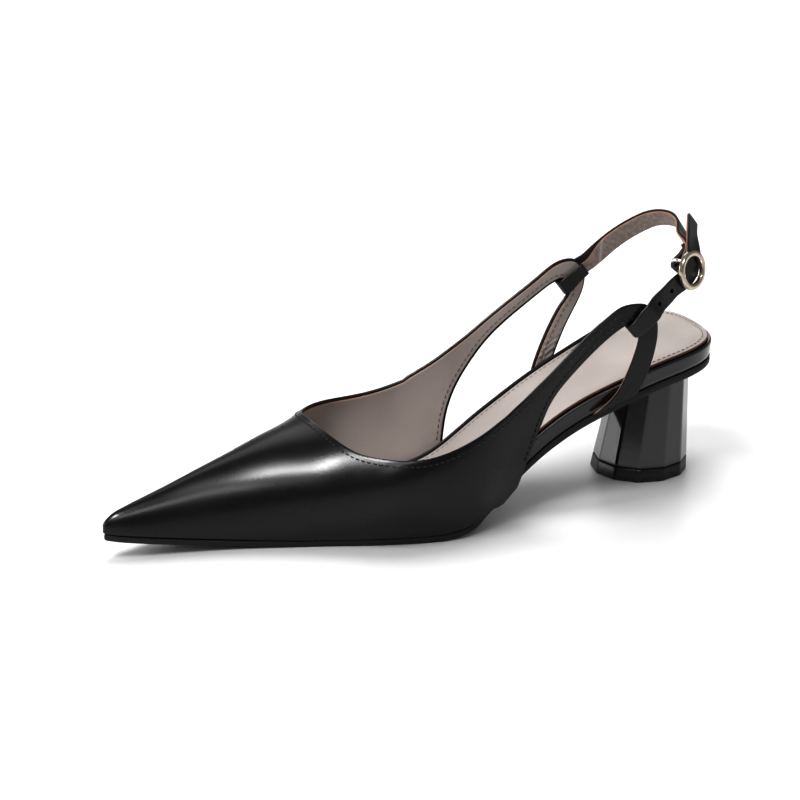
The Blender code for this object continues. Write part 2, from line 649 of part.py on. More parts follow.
def build_buckle(collection):
    """Round gilt ring with a bevelled face, and the wire bail behind it that carries the sling strap."""
    ring = ring_frame()
    bm = bmesh.new()
    half, bevel = RING_DEPTH / 2, RING_BEVEL
    profile = (
        (RING_INNER, -half),
        (RING_OUTER, -half),
        (RING_OUTER, half - bevel),
        (RING_OUTER - bevel, half),
        (RING_INNER + bevel, half),
        (RING_INNER, half - bevel),
    )
    verts = [bm.verts.new((r, 0, z)) for r, z in profile]
    for i, vert in enumerate(verts):
        bm.edges.new((vert, verts[(i + 1) % len(verts)]))
    spun = bm.verts[:] + bm.edges[:]
    bmesh.ops.spin(bm, geom=spun, axis=(0, 0, 1), cent=(0, 0, 0), steps=RING_STEPS, angle=2 * math.pi)
    bmesh.ops.remove_doubles(bm, verts=bm.verts, dist=0.005 * MM)
    bmesh.ops.recalc_face_normals(bm, faces=bm.faces)
    loop = add_part("buckle_ring", bm, "gilt", collection)
    axes = Matrix((ring["along"], ring["across"], ring["normal"])).transposed()
    loop.matrix_world = Matrix.Translation(Vector(ring["centre"])) @ axes.to_4x4()
    start, depth = -(half + GAP), ring["bar_depth"]
    staple = [(BAR_REACH, start), (BAR_REACH, depth), (-BAR_REACH, depth), (-BAR_REACH, start)]
    data = bpy.data.curves.new("buckle_bar", "CURVE")
    data.dimensions = "3D"
    data.bevel_depth = WIRE_RADIUS
    data.bevel_resolution = 2
    data.use_fill_caps = True
    wire = data.splines.new("POLY")
    wire.points.add(len(staple) - 1)
    for spot, (across, out) in zip(wire.points, staple):
        place = ring["centre"] + ring["along"] * BAR_AHEAD + ring["across"] * across + ring["normal"] * out
        spot.co = (*place, 1)
    bar = bpy.data.objects.new("buckle_bar", data)
    data.materials.append(material("gilt"))
    collection.objects.link(bar)
    return [loop, bar]


def main():
    for old in list(bpy.data.objects):
        bpy.data.objects.remove(old, do_unlink=True)
    collection = bpy.data.collections.new(OBJECT_NAME)
    cutters = bpy.data.collections.new("cutters")
    bpy.context.scene.collection.children.link(collection)
    bpy.context.scene.collection.children.link(cutters)
    parts = [build_outsole(collection), build_footbed(collection), build_sock(collection)]
    parts.append(build_upper(collection))
    parts += build_heel(collection, cutters)
    parts += build_straps(collection)
    parts += build_buckle(collection)
    bpy.context.view_layer.update()
    graph = bpy.context.evaluated_depsgraph_get()
    spots = []
    for part in parts:
        solid = part.evaluated_get(graph)
        spots += [solid.matrix_world @ vert.co for vert in solid.to_mesh().vertices]
        solid.to_mesh_clear()
    low = Vector(min(spot[axis] for spot in spots) for axis in range(3))
    high = Vector(max(spot[axis] for spot in spots) for axis in range(3))
    carrier = bpy.data.objects.new(OBJECT_NAME, None)
    collection.objects.link(carrier)
    carrier.location = (-(low.x + high.x) / 2, -(low.y + high.y) / 2, -low.z)
    for part in parts + [cutter for cutter in cutters.objects]:
        part.parent = carrier


main()
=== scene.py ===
# %% [markdown]
# # A left slingback pump, dressed for its photograph
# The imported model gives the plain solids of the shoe. This lesson puts the real surfaces over them: the black
# leather with its lining and cut edges, the wrapped footbed with its sock, the lacquered heel, the straps and
# the round buckle. Every new piece is a numpy grid, and those of the upper and the sole follow the same last
# as the solids do. All sizes are in millimetres until a mesh is made.

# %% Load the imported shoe
import math

import bmesh
import bpy
import numpy as np
from mathutils import Matrix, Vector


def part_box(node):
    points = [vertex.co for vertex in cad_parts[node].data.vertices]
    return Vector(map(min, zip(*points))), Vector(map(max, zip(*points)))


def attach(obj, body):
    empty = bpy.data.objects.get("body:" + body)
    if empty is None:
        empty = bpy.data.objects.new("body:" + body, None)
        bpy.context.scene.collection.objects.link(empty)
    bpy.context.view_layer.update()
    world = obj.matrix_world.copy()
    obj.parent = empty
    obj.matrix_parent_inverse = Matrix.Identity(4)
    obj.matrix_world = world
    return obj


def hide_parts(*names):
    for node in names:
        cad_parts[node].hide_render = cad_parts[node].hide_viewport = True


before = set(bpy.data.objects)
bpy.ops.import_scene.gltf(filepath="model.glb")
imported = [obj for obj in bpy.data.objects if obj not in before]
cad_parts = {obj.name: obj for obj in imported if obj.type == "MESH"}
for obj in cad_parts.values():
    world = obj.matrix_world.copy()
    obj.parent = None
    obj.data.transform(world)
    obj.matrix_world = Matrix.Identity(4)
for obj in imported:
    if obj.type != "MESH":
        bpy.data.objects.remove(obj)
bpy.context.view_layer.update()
MM = 0.001
print("nodes:", ", ".join(sorted(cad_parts)))

# %% [markdown]
# ## Where the last stands
# A shoemaker measures from the heel, so the tables below start at the middle of the heel's base, with the toe
# towards -x and the outer (lateral) side towards -y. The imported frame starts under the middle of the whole
# shoe. The heel tip's own box tells how far apart the two starts are: its base is a twelve-sided ring round
# the origin.

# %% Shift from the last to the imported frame
HEEL_BASE_RADIUS = 18.6
tip_low, tip_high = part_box("heel_tip")
SHIFT = np.array([tip_low.x / MM + HEEL_BASE_RADIUS, (tip_low.y + tip_high.y) / 2 / MM, 0.0])
print("the last stands at", SHIFT.round(3), "mm")

# %% [markdown]
# ## The camera
# The photograph looks down at the outer side from about 20 degrees, with a long lens. The camera is placed by
# two angles, a distance and a target on the floor, so it could be moved later by one number at a time.

# %% Camera at the photograph's angle
AZIMUTH, ELEVATION = math.radians(-26.0), math.radians(20.5)
DISTANCE, FOCAL_PIXELS, IMAGE_PIXELS, SENSOR = 1320.0, 3240.0, 800.0, 36.0
TARGET = np.array([-51.1, 105.0, 0.0])
cos_az, sin_az = math.cos(AZIMUTH), math.sin(AZIMUTH)
cos_el, sin_el = math.cos(ELEVATION), math.sin(ELEVATION)
to_right = np.array([cos_az, sin_az, 0.0])
to_back = np.array([sin_az * cos_el, -cos_az * cos_el, sin_el])
to_top = np.cross(to_back, to_right)
eye = bpy.data.cameras.new("photo_camera")
eye.sensor_width = SENSOR
eye.lens = FOCAL_PIXELS / IMAGE_PIXELS * SENSOR
camera = bpy.data.objects.new("photo_camera", eye)
turned = Matrix((to_right, to_top, to_back)).transposed().to_4x4()
camera.matrix_world = Matrix.Translation((TARGET + SHIFT + to_back * DISTANCE) * MM) @ turned
bpy.context.scene.collection.objects.link(camera)
bpy.context.scene.camera = camera
print("lens", round(eye.lens, 1), "mm")

# %% [markdown]
# ## Smooth curves from short tables
# The shape of a last is known at a few stations. A natural cubic spline goes through them without corners,
# because its bend changes steadily from one station to the next. A smooth step eases from 0 to 1 between two
# places, and a window is a step up followed by a step down.

# %% Curve helpers


def spline(xs, ys):
    """Natural cubic spline: cubic pieces whose second derivative is continuous, and zero at both ends."""
    xs, ys = np.array(xs, float), np.array(ys, float)
    step, last = np.diff(xs), len(xs) - 1
    inside = np.arange(1, last)
    system, right = np.eye(last + 1), np.zeros(last + 1)
    system[inside, inside - 1], system[inside, inside + 1] = step[:-1], step[1:]
    system[inside, inside] = 2 * (step[:-1] + step[1:])
    right[inside] = 6 * np.diff(np.diff(ys) / step)
    bend = np.linalg.solve(system, right)

    def value(x):
        i = np.clip(np.searchsorted(xs, x) - 1, 0, last - 1)
        ahead, behind, h = xs[i + 1] - x, x - xs[i], step[i]
        cubic = (bend[i] * ahead**3 + bend[i + 1] * behind**3) / (6 * h)
        return cubic + (ys[i] / h - bend[i] * h / 6) * ahead + (ys[i + 1] / h - bend[i + 1] * h / 6) * behind

    return value


def smooth_step(x, start, end):
    """Eases from 0 at start to 1 at end: three t squared less two t cubed."""
    t = np.clip((x - start) / (end - start), 0, 1)
    return t * t * (3 - 2 * t)


def ease(x, start, end, span):
    """Goes from start to end along the span, by a smooth step."""
    return start + (end - start) * smooth_step(x, *span)


def window(x, rise, fall):
    """1 in between, after easing up from 0 along rise and before easing down to 0 along fall."""
    return smooth_step(x, *rise) * (1 - smooth_step(x, *fall))


def unit(vectors):
    """Each vector divided by its own length."""
    return vectors / np.maximum(np.linalg.norm(vectors, axis=-1, keepdims=True), 1e-12)


# %% [markdown]
# ## The last
# A last is the wooden foot on which the leather is pulled. Here each cross-section is half an ellipse from
# the feather edge, where the leather turns under the sole, up to the ridge; a swell lets the wall bulge over
# the sole. The same tables shape the solids, and the dressed surfaces only sample them more finely.

# %% Tables of the last and the sole
GAP, WALL, STRAP_THICKNESS = 0.3, 1.5, 1.4
TOE_TIP, NOSE_LENGTH, THROAT, SEAT_BACK = -217.0, 5.0, -135.1, 26.0
SEAT_CURVE_START, SEAT_SQUARENESS = -4.0, 2.7
FEATHER_LIFT, NOSE_STAND = 0.7, 0.45
WING_DROP, WING_DROP_START, WING_DROP_END = 3.0, (-82.0, -74.0), (-68.0, -60.0)
SOLE_FORE, SOLE_SEAT, SOLE_STEP = 2.3, 3.0, (-90.0, -20.0)
BOARD_FORE, BOARD_SEAT, BOARD_STEP = 2.8, 6.2, (-100.0, -60.0)
TREAD_FLAT = (-150.0, -108.0)
TREAD_X = (-217, -200, -180, -165, -150, -130, -108, -95, -85, -75, -65, -55, -35, -15, 5, 27)
TREAD_HEIGHT = (6.9, 4.4, 2.0, 0.7, 0, 0, 0, 0.8, 3.3, 7.6, 13.0, 18.7, 29.1, 36.7, 41.7, 44.6)
LAST_COLUMNS = ("x", "lateral", "medial", "lateral_swell", "medial_swell", "ridge", "ridge_y")
LAST_ROWS = (
    (-217, 4.2, 5.9, 0, 0, 14.4, 5.2),
    (-208, 1.6, 8.3, 0, 0, 17.4, 5.4),
    (-195, -1.4, 12.2, 0.5, 0.5, 21.1, 5.6),
    (-180, -5.2, 16.8, 1.5, 1.5, 25.6, 5.8),
    (-165, -10.0, 21.3, 4, 4, 29.9, 5.6),
    (-150, -15.8, 25.6, 9, 9, 34.0, 4.8),
    (-138, -20.8, 29.0, 15, 14, 36.7, 3.8),
    (-125, -26.4, 31.6, 23, 21, 41.8, 2.6),
    (-110, -31.6, 30.6, 21, 23, 51.0, 1.2),
    (-97, -34.2, 24.8, 14, 26, 61.2, 0.3),
    (-84, -32.2, 18.8, 13, 31, 74, 0),
    (-70, -26.0, 16.8, 18, 32, 88, 0),
    (-55, -21.8, 16.6, 22, 32, 100, 0),
    (-40, -21.5, 17.2, 18, 26, 110, 0),
    (-20, -23.8, 19.2, 12, 20, 120, 0),
    (0, -24.6, 24.0, 8, 9, 125, 0),
)
BEHIND_THROAT = (0, 1.1, 2.7, 5.7, 9.7, 16.1, 24.9, 32.4, 42.9, 55.9, 69.9)
TOPLINE_RISE = (90, 73.2, 65.2, 57.2, 51.8, 45.4, 38.8, 35.2, 31.5, 27.8, 25.5)
station = np.array(LAST_ROWS, float).T
LAST = {name: spline(station[0], row) for name, row in zip(LAST_COLUMNS[1:], station[1:])}
TREAD = spline(TREAD_X, TREAD_HEIGHT)
RISE = spline(np.sqrt(BEHIND_THROAT), TOPLINE_RISE)
print(len(LAST_ROWS), "stations of the last,", round(SEAT_BACK - TOE_TIP), "mm from toe to seat")

# %% Heights of the sole's layers


def tread_height(x):
    """Underside of the outsole: its spline, held to the floor under the ball of the foot."""
    flat = (x > TREAD_FLAT[0]) & (x < TREAD_FLAT[1])
    return np.where(flat, 0, np.maximum(TREAD(x), 0))


def upright(x):
    """Cosine of the sole's slope, which turns a thickness into a height."""
    return 1 / np.sqrt(1 + (tread_height(x + 0.5) - tread_height(x - 0.5)) ** 2)


def outsole_top(x):
    """Tread plus the sole's thickness, which grows from ball to seat."""
    return tread_height(x) + ease(x, SOLE_FORE, SOLE_SEAT, SOLE_STEP) / upright(x)


def board_bottom(x):
    """Underside of the footbed, a hair above the outsole."""
    return outsole_top(x) + GAP / upright(x)


def board_top(x):
    """Top of the footbed: a thin board in front, and padded under the arch and seat."""
    return board_bottom(x) + ease(x, BOARD_FORE, BOARD_SEAT, BOARD_STEP) / upright(x)


# %% The surface of the last


def nose_cap(x):
    """Rounds the last off over its first few millimetres: a quarter circle from tip to full size."""
    t = np.clip((x - TOE_TIP) / NOSE_LENGTH, 0, 1)
    return np.sqrt(1 - (1 - t) ** 2)


def last_point(x, side, rise):
    """Half an ellipse from feather edge (rise 0) to ridge (90 degrees), swelling outwards in between."""
    near = side < 0
    edge = np.where(near, LAST["lateral"](x), LAST["medial"](x))
    swell = np.where(near, LAST["lateral_swell"](x), LAST["medial_swell"](x))
    ridge_y, foot = LAST["ridge_y"](x), board_bottom(x) + FEATHER_LIFT
    sine, cosine, cap = np.sin(np.radians(rise)), np.cos(np.radians(rise)), nose_cap(x)
    y = ridge_y + side * (side * (edge - ridge_y) + swell * sine) * cosine * cap
    z = foot + (LAST["ridge"](x) - foot) * sine * (NOSE_STAND + (1 - NOSE_STAND) * cap)
    dropped = WING_DROP * window(x, WING_DROP_START, WING_DROP_END) * (1 - sine) ** 4
    z = z - np.where(near, dropped, 0)
    return np.stack(np.broadcast_arrays(x, y, z), axis=-1)


def wall_frame(x, side, rise):
    """Point of the last with its slope along x, its slope with rise, and the normal across both."""
    along = last_point(x + 0.5, side, rise) - last_point(x - 0.5, side, rise)
    climb = last_point(x, side, rise + 0.5) - last_point(x, side, rise - 0.5)
    normal = unit(np.cross(along, climb) * -np.asarray(side, float)[..., None])
    return last_point(x, side, rise), along, climb, normal


def topline_rise(x):
    """The ridge, 90 degrees, ahead of the throat, then the topline."""
    return np.where(x > THROAT, RISE(np.sqrt(np.maximum(x - THROAT, 0))), 90)


print("throat", last_point(np.array(THROAT), -1, 90.0).round(1))

# %% [markdown]
# ## Finishes as expressions
# A material is easier to read as a formula than as a picture of nodes. The small class below stands for one
# output of a node: adding or multiplying two of them adds a Math node. Every other node comes from one method
# that takes the node's type, its settings and what goes into its sockets.

# %% Shader helper


class Wire:
    """One value in a material; arithmetic on wires adds Math nodes."""

    def __init__(self, finish, socket):
        self.finish, self.socket = finish, socket

    def maths(self, operation, first, second):
        return self.finish.node("ShaderNodeMath", {"operation": operation}, {0: first, 1: second})

    def __add__(self, other):
        return self.maths("ADD", self, other)

    def __sub__(self, other):
        return self.maths("SUBTRACT", self, other)

    def __rsub__(self, other):
        return self.maths("SUBTRACT", other, self)

    def __mul__(self, other):
        return self.maths("MULTIPLY", self, other)

    __radd__, __rmul__ = __add__, __mul__


class Finish:
    """A Principled material, written as expressions on wires."""

    def __init__(self, name, **constants):
        self.material = bpy.data.materials.new(name)
        self.material.use_nodes = True
        self.tree = self.material.node_tree
        self.shader = self.tree.nodes["Principled BSDF"]
        names = [socket.name for socket in self.shader.inputs]
        self.sockets = {name.lower().replace(" ", "_"): name for name in names}
        self.set(**constants)

    def feed(self, node, inputs):
        for key, value in inputs.items():
            if isinstance(value, Wire):
                self.tree.links.new(value.socket, node.inputs[key])
            else:
                node.inputs[key].default_value = value

    def node(self, kind, settings=None, inputs=None, output=0):
        made = self.tree.nodes.new(kind)
        for key, value in (settings or {}).items():
            setattr(made, key, value)
        self.feed(made, inputs or {})
        return Wire(self, made.outputs[output])

    def place(self):
        return self.node("ShaderNodeTexCoord", output="Object")

    def mark(self, name):
        return self.node("ShaderNodeAttribute", {"attribute_name": name}, output="Fac")

    def noise(self, scale, detail=2.0, stretch=None):
        where = self.place()
        if stretch:
            where = self.node("ShaderNodeMapping", inputs={"Vector": where, "Scale": stretch})
        return self.node("ShaderNodeTexNoise", inputs={"Vector": where, "Scale": scale, "Detail": detail})

    def cells(self, scale):
        return self.node("ShaderNodeTexVoronoi", inputs={"Vector": self.place(), "Scale": scale})

    def ramp(self, value, low, high):
        inputs = {"Value": value, "From Min": low, "From Max": high}
        return self.node("ShaderNodeMapRange", {"interpolation_type": "SMOOTHSTEP"}, inputs)

    def blend(self, factor, first, second):
        inputs = {0: factor, 6: first, 7: second}
        return self.node("ShaderNodeMix", {"data_type": "RGBA"}, inputs, output=2)

    def bump(self, height, strength, distance):
        inputs = {"Height": height, "Strength": strength, "Distance": distance}
        return self.node("ShaderNodeBump", inputs=inputs)

    def set(self, **inputs):
        self.feed(self.shader, {self.sockets[key]: value for key, value in inputs.items()})
        return self.material


# %% [markdown]
# ## Leather, lining and edges
# The upper is smooth black calf with a satin finish: almost black, with a gloss that varies a little from
# place to place and a very fine grain that only breaks up the highlights. The lining is a matt greige. Where
# leather was cut, the edge is painted black and a thin tan line of raw leather shows beside the lining. The
# mark called through runs from 0 on the outside of a wall to 1 on its inside, so one material can tell face,
# edge and lining apart.

# %% Leather finishes
BLACK = (0.0040, 0.0040, 0.0044, 1)
BLACK_WORN = (0.0070, 0.0068, 0.0070, 1)
GREIGE = (0.45, 0.396, 0.373, 1)
GREIGE_LIGHT = (0.51, 0.455, 0.43, 1)
RAW = (0.50, 0.25, 0.15, 1)


def calf_grain(finish, fine=2600.0, coarse=900.0):
    """Height of calf grain: small pores between cells, over a slower unevenness."""
    return finish.cells(fine) * 0.6 + finish.noise(coarse, 3.0) * 0.7


def worn_black(finish, cloud):
    """Black that turns a little paler where the cloud is dense."""
    return finish.blend(finish.ramp(cloud, 0.35, 0.75), BLACK, BLACK_WORN)


def make_upper_leather():
    finish = Finish("upper_leather", specular_ior_level=0.48)
    cloud, raw = finish.noise(60.0, 3.0), finish.mark("through") * finish.mark("raw")
    colour = finish.blend(finish.ramp(raw, 0.3, 0.55), worn_black(finish, cloud), RAW)
    normal = finish.bump(calf_grain(finish), 0.14, 0.00014)
    return finish.set(base_color=colour, roughness=0.24 + 0.08 * cloud, normal=normal)


def make_lining():
    finish = Finish("lining", specular_ior_level=0.3)
    cloud = finish.noise(45.0, 4.0)
    face = finish.blend(finish.ramp(cloud, 0.3, 0.7), GREIGE, GREIGE_LIGHT)
    through = finish.mark("through")
    colour = finish.blend(finish.ramp(through, 0.8, 0.98), RAW, face)
    normal = finish.bump(calf_grain(finish, 1500.0, 420.0), 0.22, 0.0003)
    return finish.set(base_color=colour, roughness=0.52 + 0.14 * cloud, normal=normal)


def make_strap():
    finish = Finish("strap_leather", specular_ior_level=0.6)
    cloud, through = finish.noise(80.0, 3.0), finish.mark("through")
    rough = 0.33 + 0.1 * cloud + 0.3 * finish.ramp(through, 0.6, 0.9)
    normal = finish.bump(calf_grain(finish, 2200.0, 700.0), 0.2, 0.0002)
    return finish.set(base_color=worn_black(finish, cloud), roughness=rough, normal=normal)


def make_suede():
    finish = Finish("strap_suede", specular_ior_level=0.15)
    nap, through, seam = finish.noise(700.0, 4.0), finish.mark("through"), finish.mark("seam")
    face = finish.blend(finish.ramp(nap, 0.25, 0.75), (0.30, 0.25, 0.23, 1), (0.43, 0.37, 0.345, 1))
    face = finish.blend(seam, face, (0.62, 0.56, 0.53, 1))
    edge = finish.blend(finish.ramp(through, 0.02, 0.12), BLACK, RAW)
    colour = finish.blend(finish.ramp(through, 0.8, 0.98), edge, face)
    normal = finish.bump(nap, 0.35, 0.0003)
    return finish.set(base_color=colour, roughness=0.8 + 0.12 * nap, normal=normal)


UPPER_LEATHER, LINING, STRAP, SUEDE = make_upper_leather(), make_lining(), make_strap(), make_suede()
print("leather finishes:", UPPER_LEATHER.name, LINING.name, STRAP.name, SUEDE.name)

# %% [markdown]
# ## From arrays to meshes
# A grid of points becomes a mesh by joining each point to its neighbours with quads. A leather wall is a
# sheet moved out along its normals, the same sheet moved in, and a half-round rim that joins the two along
# the sheet's border.

# %% Mesh helpers
MERGE_WITHIN, SLIVER = 0.002 * MM, 0.0005 * MM


def grid_faces(rows, columns, close_rows=False, close_columns=False):
    """Quads between neighbours of a grid; the last row or column may be joined to the first."""
    index = np.arange(rows * columns).reshape(rows, columns)
    index = np.concatenate([index, index[:1]]) if close_rows else index
    index = np.concatenate([index, index[:, :1]], axis=1) if close_columns else index
    corners = index[:-1, :-1], index[:-1, 1:], index[1:, 1:], index[1:, :-1]
    return np.stack([corner.ravel() for corner in corners], axis=1)


def tube_faces(points):
    """Quads of a grid whose rows are closed rings."""
    return grid_faces(*points.shape[:2], close_columns=True)


def add_piece(name, points, faces, material, slot, nodes=(), marks=None, sharp=None):
    """Mesh object of the points, doubles merged, that rides on the shoe and stands for its nodes."""
    mesh = bpy.data.meshes.new(name)
    mesh.from_pydata((points.reshape(-1, 3) + SHIFT) * MM, [], faces.tolist())
    for mark, values in (marks or {}).items():
        data = mesh.attributes.new(mark, "FLOAT", "POINT").data
        data.foreach_set("value", np.ravel(values).astype(np.float32))
    bm = bmesh.new()
    bm.from_mesh(mesh)
    bmesh.ops.remove_doubles(bm, verts=bm.verts, dist=MERGE_WITHIN)
    bmesh.ops.dissolve_degenerate(bm, edges=bm.edges, dist=SLIVER)
    bm.to_mesh(mesh)
    bm.free()
    mesh.shade_smooth()
    if sharp:
        mesh.set_sharp_from_angle(angle=math.radians(sharp))
    mesh.materials.append(material)
    piece = bpy.data.objects.new(name, mesh)
    bpy.context.scene.collection.objects.link(piece)
    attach(piece, "root")
    if nodes:
        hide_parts(*nodes)
    print(name, len(mesh.vertices), "vertices", len(mesh.polygons), "faces")
    return piece


def sheet_normals(points):
    """Normals of a grid: the slope across times the slope along."""
    return unit(np.cross(np.gradient(points, axis=1), np.gradient(points, axis=0)))


def border(rows, columns):
    """Flat indices round a grid: down its first column, along its last row, and back up and along."""
    index = np.arange(rows * columns).reshape(rows, columns)
    return np.concatenate([index[:-1, 0], index[-1, :-1], index[:0:-1, -1], index[0, :0:-1]])


def wall(points, normals, outer, inner, rim, bulge, steps=4):
    """Closed wall: sheet + normal x outer, sheet + normal x inner, and a rim of half-ellipse sections."""
    rows, columns = points.shape[:2]
    sheet, out, count = points.reshape(-1, 3), normals.reshape(-1, 3), rows * columns
    depths = (np.asarray(depth, float).reshape(-1, 1) for depth in (outer, inner))
    outer, inner = (np.broadcast_to(depth, (count, 1)) for depth in depths)
    tangent = np.roll(sheet[rim], -1, axis=0) - np.roll(sheet[rim], 1, axis=0)
    away = unit(np.cross(out[rim], tangent))
    turn = np.linspace(0, math.pi, steps + 2)[1:-1, None, None]
    middle, half = (outer[rim] + inner[rim]) / 2, (outer[rim] - inner[rim]) / 2
    bead = sheet[rim] + out[rim] * (middle + half * np.cos(turn)) + away * bulge * np.sin(turn)
    faces = grid_faces(rows, columns)
    rings = 2 * count + np.arange(steps * len(rim)).reshape(steps, len(rim))
    rings = np.concatenate([rim[None], rings, rim[None] + count])
    ahead = np.roll(rings, -1, axis=1)
    corners = rings[:-1], ahead[:-1], ahead[1:], rings[1:]
    rim_faces = np.stack([corner.ravel() for corner in corners], axis=1)
    all_faces = np.concatenate([faces, faces[:, ::-1] + count, rim_faces])
    all_points = np.concatenate([sheet + out * outer, sheet + out * inner, bead.reshape(-1, 3)])
    edge = np.broadcast_to((1 - np.cos(turn)) / 2, (steps, len(rim), 1))
    through = np.concatenate([np.zeros(count), np.ones(count), edge.ravel()])
    return all_points, all_faces, {"through": through}


# %% [markdown]
# ## Cutting the upper
# The vamp, its two wings, the rounded tops of the wings and the rear straps are one cut of leather. On the
# last it is a band between a lower and an upper line, so each rib of the grid runs from one to the other. The
# tables give the wings and rear straps of each side as x along the last and rise round it. Ahead of the
# throat the upper ends of the ribs meet on the ridge, where both sides are welded.

# %% Ribs of the upper
LATERAL_BAND = (
    (-67.5, 0.0, -76.0, 27.0),
    (-62.6, 4.9, -71.0, 26.2),
    (-59.0, 10.4, -66.0, 25.6),
    (-55.4, 15.4, -60.0, 25.3),
    (-50.6, 18.0, -54.0, 25.5),
    (-44.3, 19.4, -46.0, 26.2),
    (-37.8, 20.7, -38.0, 27.3),
    (-31.5, 21.9, -30.5, 28.1),
    (-26.4, 22.6, -24.5, 28.5),
    (-21.6, 22.6, -18.0, 26.9),
    (-18.6, 20.6, -13.4, 24.6),
    (-17.0, 17.6, -10.4, 20.6),
    (-17.4, 14.8, -9.5, 16.4),
    (-18.6, 12.0, -9.9, 12.6),
    (-20.4, 8.6, -11.2, 8.4),
    (-22.6, 5.2, -12.7, 5.0),
    (-26.0, 2.2, -14.6, 2.2),
    (-33.0, 0.0, -17.0, 0.0),
)
MEDIAL_BAND = (
    (-77.0, 0.0, -84.0, 29.6),
    (-74.8, 5.0, -79.0, 28.6),
    (-72.0, 10.4, -74.0, 27.6),
    (-67.4, 15.0, -68.0, 26.8),
    (-60.8, 18.3, -61.0, 26.2),
    (-53.5, 20.7, -53.5, 26.4),
    (-47.0, 22.0, -46.0, 27.0),
    (-40.5, 22.8, -39.0, 27.6),
    (-33.3, 23.5, -31.5, 28.4),
    (-26.4, 24.2, -24.0, 29.4),
    (-21.6, 23.8, -17.0, 28.2),
    (-18.8, 21.8, -13.0, 25.2),
    (-18.2, 19.0, -11.2, 21.0),
    (-20.4, 17.2, -12.2, 17.6),
    (-23.6, 15.4, -14.6, 14.9),
    (-29.0, 11.4, -19.2, 11.4),
    (-33.0, 7.9, -23.4, 7.9),
    (-36.0, 4.8, -27.0, 4.6),
    (-38.8, 2.0, -29.6, 2.2),
    (-45.0, 0.0, -32.0, 0.0),
)
NOSE_RIBS, VAMP_RIBS, COLLAR_RIBS, BAND_RIBS, ACROSS = 14, 44, 44, 150, 27
RIDGE_RIBS, EVEN_FEATHER = NOSE_RIBS + VAMP_RIBS, 0.35


def band_ribs(side):
    """Lower and upper ends (x, rise) of the ribs of one side, from the toe to the foot of the rear strap."""
    band = np.array(LATERAL_BAND if side < 0 else MEDIAL_BAND)
    rows, fine = np.arange(len(band)), np.linspace(0, len(band) - 1, BAND_RIBS)
    low_x, low_rise, up_x, up_rise = (spline(rows, column)(fine) for column in band.T)
    nose = TOE_TIP + NOSE_LENGTH * (1 - np.cos(np.linspace(0, math.pi / 2, NOSE_RIBS + 1)[:-1]))
    vamp = np.linspace(TOE_TIP + NOSE_LENGTH, THROAT, VAMP_RIBS + 1)[:-1]
    back = np.linspace(0, 1, COLLAR_RIBS + 1)[:-1]
    collar_x = THROAT + (band[0, 2] - THROAT) * back**2
    feather_x = THROAT + (band[0, 0] - THROAT) * (EVEN_FEATHER * back + (1 - EVEN_FEATHER) * back**2)
    lower_x, upper_x = np.concatenate([nose, vamp, feather_x]), np.concatenate([nose, vamp, collar_x])
    lower = np.stack([lower_x, 0 * lower_x], axis=1)
    upper = np.stack([upper_x, topline_rise(upper_x)], axis=1)
    lower = np.concatenate([lower, np.stack([low_x, np.maximum(low_rise, 0)], axis=1)])
    return lower, np.concatenate([upper, np.stack([up_x, np.maximum(up_rise, 0)], axis=1)])


near_ribs, far_ribs = band_ribs(-1), band_ribs(1)
TIP = len(near_ribs[0]) - 1
lower_line = np.concatenate([near_ribs[0][::-1], far_ribs[0][1:]])
upper_line = np.concatenate([near_ribs[1][::-1], far_ribs[1][1:]])
rib_side = np.where(np.arange(len(lower_line)) <= TIP, -1, 1)
print(len(lower_line), "ribs round the toe from strap foot to strap foot")

# %% [markdown]
# ## Lines inside a cut edge
# The lining stops just short of the cut edge and the stitches run two millimetres inside it. Both lines are
# the edge moved inwards over the last. A step on the surface is a mix of its slope along x and its slope with
# rise, so two equations, one for each slope, turn a step in millimetres into a step of x and rise.

# %% Set a line in


def set_in(ends, side, depth):
    """The line (x, rise) moved depth millimetres over the last, square to itself and to its left."""
    point, along, climb, normal = wall_frame(ends[:, 0], side, ends[:, 1])
    step = unit(np.cross(np.gradient(point, axis=0), normal)) * np.reshape(depth, (-1, 1))
    xx, xr, rr = (along * along).sum(1), (along * climb).sum(1), (climb * climb).sum(1)
    by_x, by_rise, det = (step * along).sum(1), (step * climb).sum(1), xx * rr - xr**2
    return ends + np.stack([rr * by_x - xr * by_rise, xx * by_rise - xr * by_x], axis=1) / det[:, None]


BAND_START = RIDGE_RIBS + COLLAR_RIBS
near_top, far_top = near_ribs[1][RIDGE_RIBS:], far_ribs[1][RIDGE_RIBS + 1:]
top_side = np.repeat([1.0, -1.0], [len(far_top), len(near_top)])
EDGES = {
    "topline": (np.concatenate([far_top[::-1], near_top]), top_side),
    "lateral_cutout": (near_ribs[0][BAND_START:][::-1], np.full(BAND_RIBS, -1.0)),
    "medial_cutout": (far_ribs[0][BAND_START:], np.full(BAND_RIBS, 1.0)),
}


def edge_fade(count, first, last):
    """1 along a row, easing to 0 over its first and last few ribs."""
    return window(np.arange(count), (0, first), (count - 1 - last, count - 1))


print({name: len(ends) for name, (ends, _) in EDGES.items()})

# %% [markdown]
# ## Pulling the leather over the last
# The grid is read from the last, its normals come from the grid itself, and along the ridge the normals of
# the two sides are averaged so that no crease shows there. The leather is the outer millimetre of the wall.
# The lining is the rest of it and ends just inside the cut edge, where its own raw edge shows as a tan line.
# On the inner rear strap the lining has buckled into small creases, which are waves of a third of a
# millimetre that fade out at both ends of the strap's foot.

